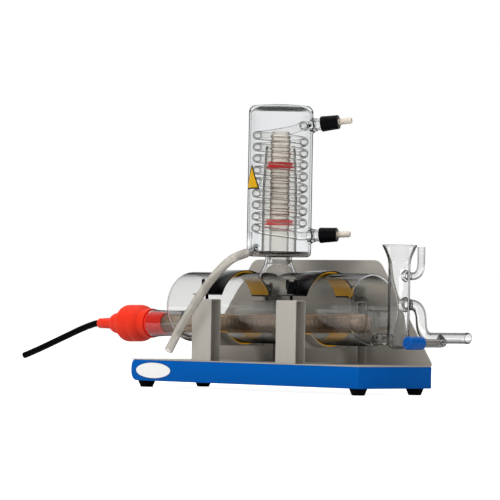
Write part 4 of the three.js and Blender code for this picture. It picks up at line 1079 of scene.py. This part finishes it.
def heater_sheath():
    """Silica tube with a round closed end."""
    left, tip, outer, inner = -302, 192, 15, 13.2

    def end(radius, reach):
        quarter = [math.pi / 2 * k / 12 for k in range(12)]
        round_end = [(radius * math.cos(t), reach - radius + radius * math.sin(t)) for t in quarter]
        return round_end + [(0, reach)]

    tube = [(0, left), (outer, left)] + end(outer, tip)
    bore = [(0, left - 2), (inner, left - 2)] + end(inner, tip - (outer - inner))
    outside, inside = lathe(tube, 64, HEATER_AXIS), lathe(bore, 64, HEATER_AXIS)
    shell = fused("silica_sheath_tube", [outside], [inside], SILICA)
    mount(shell, "heater_assembly", "silica_sheath", "heater_sheath")


def heater_inside():
    """Ceramic former with the resistance wire wound round it."""
    core = [(0, -296), (5.6, -296), (6, -295.6), (6, 171), (5.4, 172), (0, 172)]
    heater_part("ceramic_former", core, 32, CERAMIC, "ceramic_core", "heater_core")
    turns, steps, start, length, radius = 32, 16, -150, 310, 9.2
    spiral = []
    for k in range(turns * steps + 1):
        turn = 2 * math.pi * k / steps
        along = start + length * k / (turns * steps)
        spiral.append(HEATER_LAY @ Vector((along, radius * math.cos(turn), radius * math.sin(turn))))
    wire = link_mesh("heating_spiral", *sweep(spiral, 1.2, 8), WIRE, 60)
    mount(wire, "heater_assembly", "resistance_wire", "heater_wire")


def heater_cap():
    """Gland, collar, shoulder at 45 degrees, round dome with a groove, and a ribbed skirt."""
    gland, skirt, right = 8.1, 23.6, -286
    cap = [(0, CAP_LEFT), (7.4, CAP_LEFT), (8, CAP_LEFT + 0.8)]
    collar = CAP_COLLAR_RADIUS - gland
    cap += arc(gland, -364, collar, -84, 0, 10, 17 / collar)
    cap += [(CAP_COLLAR_RADIUS, -358.4)]
    cap += arc(CAP_DOME_RADIUS - 10, -341, 10, -45, 0, 8)
    cap += [(CAP_DOME_RADIUS, -322), (29.2, -321.4), (29.2, -320.4), (CAP_DOME_RADIUS, -319.8)]
    cap += arc(CAP_DOME_RADIUS - 20, -315, 20, 0, 46, 10)
    cap += [(23.2, -297.5), (skirt, -296), (23.2, -294.5), (skirt, -293), (23.2, -291.5), (skirt, -290)]
    cap += [(23.5, right - 0.6), (23.1, right), (21.6, right), (21.3, right - 0.3), (21.3, -304), (0, -304)]
    heater_part("moulded_cap", cap, 80, RED_RUBBER, "red_cap", "heater_cap", 50)


def mains_cable():
    """Cable that leaves the gland straight and sinks in one bend to a gentle slope."""
    start = Vector((CAP_LEFT - 4.4, 0, 0))
    end = Vector((CAP_LEFT - CABLE_REACH, 0, -CABLE_DROP))
    leaving = start - Vector((22, 0, 0))
    arriving = end + Vector((math.cos(CABLE_END_SLOPE), 0, math.sin(CABLE_END_SLOPE))) * 62
    path = [Vector((CAP_LEFT - 0.5, 0, 0))] + bezier([start, leaving, arriving, end], 60)
    lead = link_mesh("mains_lead", *sweep([HEATER_LAY @ point for point in path], 5.15, 28), CABLE_BLACK, 60)
    mount(lead, "heater_assembly", "cable_black", "mains_cable")


def heater():
    heater_sheath()
    heater_inside()
    stopper = [(15.3, -296), (20.4, -296), (20.8, -295.6), (20.8, -284), (20.4, -283.5), (19.7, -283.4)]
    stopper += [(17.5, -251.6), (17, -251), (15.3, -251), (15.3, -296)]
    heater_part("tapered_stopper", stopper, 64, STOPPER_RED, "red_silicone", "heater_stopper")
    heater_cap()
    mains_cable()


# ---------------------------------------------------------------- studio

def pale_floor():
    """White floor with only a faint shadow; seen through glass it is bright far off and dim close by."""
    reach, level = 9000, -0.2
    corners = [(-reach, -reach, level), (reach, -reach, level), (reach, reach, level), (-reach, reach, level)]
    floor = link_mesh("floor", corners, [(0, 1, 2, 3)], None)
    material, tree, output = new_material("pale_floor")
    lit = node(tree, "BsdfDiffuse", {"Color": (0.5, 0.5, 0.5, 1)})
    position = node(tree, "NewGeometry").outputs["Position"]
    far = node(tree, "VectorMath", {0: position}, operation="LENGTH").outputs["Value"]
    seen_directly = node(tree, "LightPath").outputs["Is Camera Ray"]
    through_glass = ranged(tree, far, 0.8, 3.0, 0.05, 0.95)
    strength = node(tree, "Mix", {"Factor": seen_directly, "A": through_glass, "B": 0.94})
    painted_glow = node(tree, "Emission", {"Strength": strength.outputs["Result"]})
    both = node(tree, "AddShader", {0: lit.outputs["BSDF"], 1: painted_glow.outputs["Emission"]})
    tree.links.new(both.outputs["Shader"], output.inputs["Surface"])
    floor.data.materials.append(material)


def white_room(scene):
    """Bright straight behind the still, dark at the sides so that glass shows dark edges, dim in front."""
    world = bpy.data.worlds.new("studio")
    scene.world = world
    world.use_nodes = True
    tree = world.node_tree
    tree.nodes.clear()
    output = node(tree, "OutputWorld")
    direction = node(tree, "TexCoord").outputs["Generated"]
    split = node(tree, "SeparateXYZ", {"Vector": direction})
    # direction along the view axis: 1 straight behind the object, -1 behind the camera
    away = (-math.sin(CAMERA_AZIMUTH), math.cos(CAMERA_AZIMUTH), 0)
    view = node(tree, "VectorMath", {0: direction, 1: away}, operation="DOT_PRODUCT")
    ramp = node(tree, "ValToRGB", {"Fac": ranged(tree, view.outputs["Value"], -1, 1)})
    ramp.color_ramp.interpolation = "EASE"
    stops = [(0.0, 0.34), (0.30, 0.30), (0.44, 0.12), (0.74, 0.06), (0.90, 0.90), (1.0, 1.0)]
    while len(ramp.color_ramp.elements) < len(stops):
        ramp.color_ramp.elements.new(0.5)
    for element, (place, value) in zip(ramp.color_ramp.elements, stops):
        element.position = place
        element.color = (value, value, value, 1)
    overhead = ranged(tree, split.outputs["Z"], 0.7, 0.9)
    room = blended(tree, overhead, ramp.outputs["Color"], (1.5, 1.5, 1.5, 1))
    around = node(tree, "Background", {"Color": room}).outputs["Background"]
    backdrop = node(tree, "Background", {"Color": (1, 1, 1, 1)}).outputs["Background"]
    seen_directly = node(tree, "LightPath").outputs["Is Camera Ray"]
    tree.links.new(blended_shader(tree, seen_directly, around, backdrop), output.inputs["Surface"])


def softbox(scene, name, place, width, height, power):
    """Area lamp in metres and watts, aimed at the still."""
    lamp = bpy.data.lights.new(name, "AREA")
    lamp.shape = "RECTANGLE"
    lamp.size = width
    lamp.size_y = height
    lamp.energy = power
    obj = bpy.data.objects.new(name, lamp)
    scene.collection.objects.link(obj)
    # the glass shows the room and not the lamps
    obj.visible_glossy = False
    obj.visible_transmission = False
    target = BASE_CENTRE + Vector((0, 0, 0.2))
    obj.location = BASE_CENTRE + Vector(place)
    obj.rotation_euler = (target - obj.location).to_track_quat("-Z", "Y").to_euler()


def studio():
    scene = bpy.context.scene
    pale_floor()
    white_room(scene)
    softbox(scene, "key", (-0.9, -2.0, 1.5), 1.0, 1.2, 46)
    softbox(scene, "fill", (2.2, -0.4, 0.8), 0.7, 1.2, 16)
    scene.view_settings.view_transform = "Standard"
    scene.view_settings.look = "None"
    for limit in ("max_bounces", "transmission_bounces", "transparent_max_bounces"):
        setattr(scene.cycles, limit, 40)
    scene.cycles.glossy_bounces = 12
    scene.cycles.caustics_reflective = False
    scene.cycles.caustics_refractive = False
    scene.cycles.use_denoising = True


CAMERA_AZIMUTH = math.radians(45)
CAMERA_RISE = math.radians(-0.68)
CAMERA_ROLL = math.radians(1.0)
CAMERA_DISTANCE = 5600
SENSOR_WIDTH = 36
LENS_LENGTH = 7.214 * SENSOR_WIDTH


def camera():
    """Long lens level with the boiler; the aim point sits right of and below the middle of the picture."""
    data = bpy.data.cameras.new("camera")
    data.sensor_width = SENSOR_WIDTH
    data.lens = LENS_LENGTH
    data.shift_x = -0.06
    data.shift_y = 0.024
    data.clip_end = 100
    obj = bpy.data.objects.new("camera", data)
    scene = bpy.context.scene
    scene.collection.objects.link(obj)
    scene.camera = obj
    back = Vector((math.sin(CAMERA_AZIMUTH) * math.cos(CAMERA_RISE),
                   -math.cos(CAMERA_AZIMUTH) * math.cos(CAMERA_RISE), math.sin(CAMERA_RISE)))
    right = Vector((math.cos(CAMERA_AZIMUTH), math.sin(CAMERA_AZIMUTH), 0))
    up = back.cross(right)
    across = right * math.cos(CAMERA_ROLL) + up * math.sin(CAMERA_ROLL)
    above = up * math.cos(CAMERA_ROLL) - right * math.sin(CAMERA_ROLL)
    place = (Vector((0, 0, 200)) + back * CAMERA_DISTANCE) * MM + BASE_CENTRE
    obj.matrix_world = Matrix.Translation(place) @ Matrix((across, above, back)).transposed().to_4x4()


base_tray()
deck_and_panel()
feet()
badge()
saddles_and_straps()
posts()
strap_fasteners()
boiler()
feeder()
drain_valve()
jacket()
condenser_inside()
label()
water_connections()
hose()
heater()
studio()
camera()
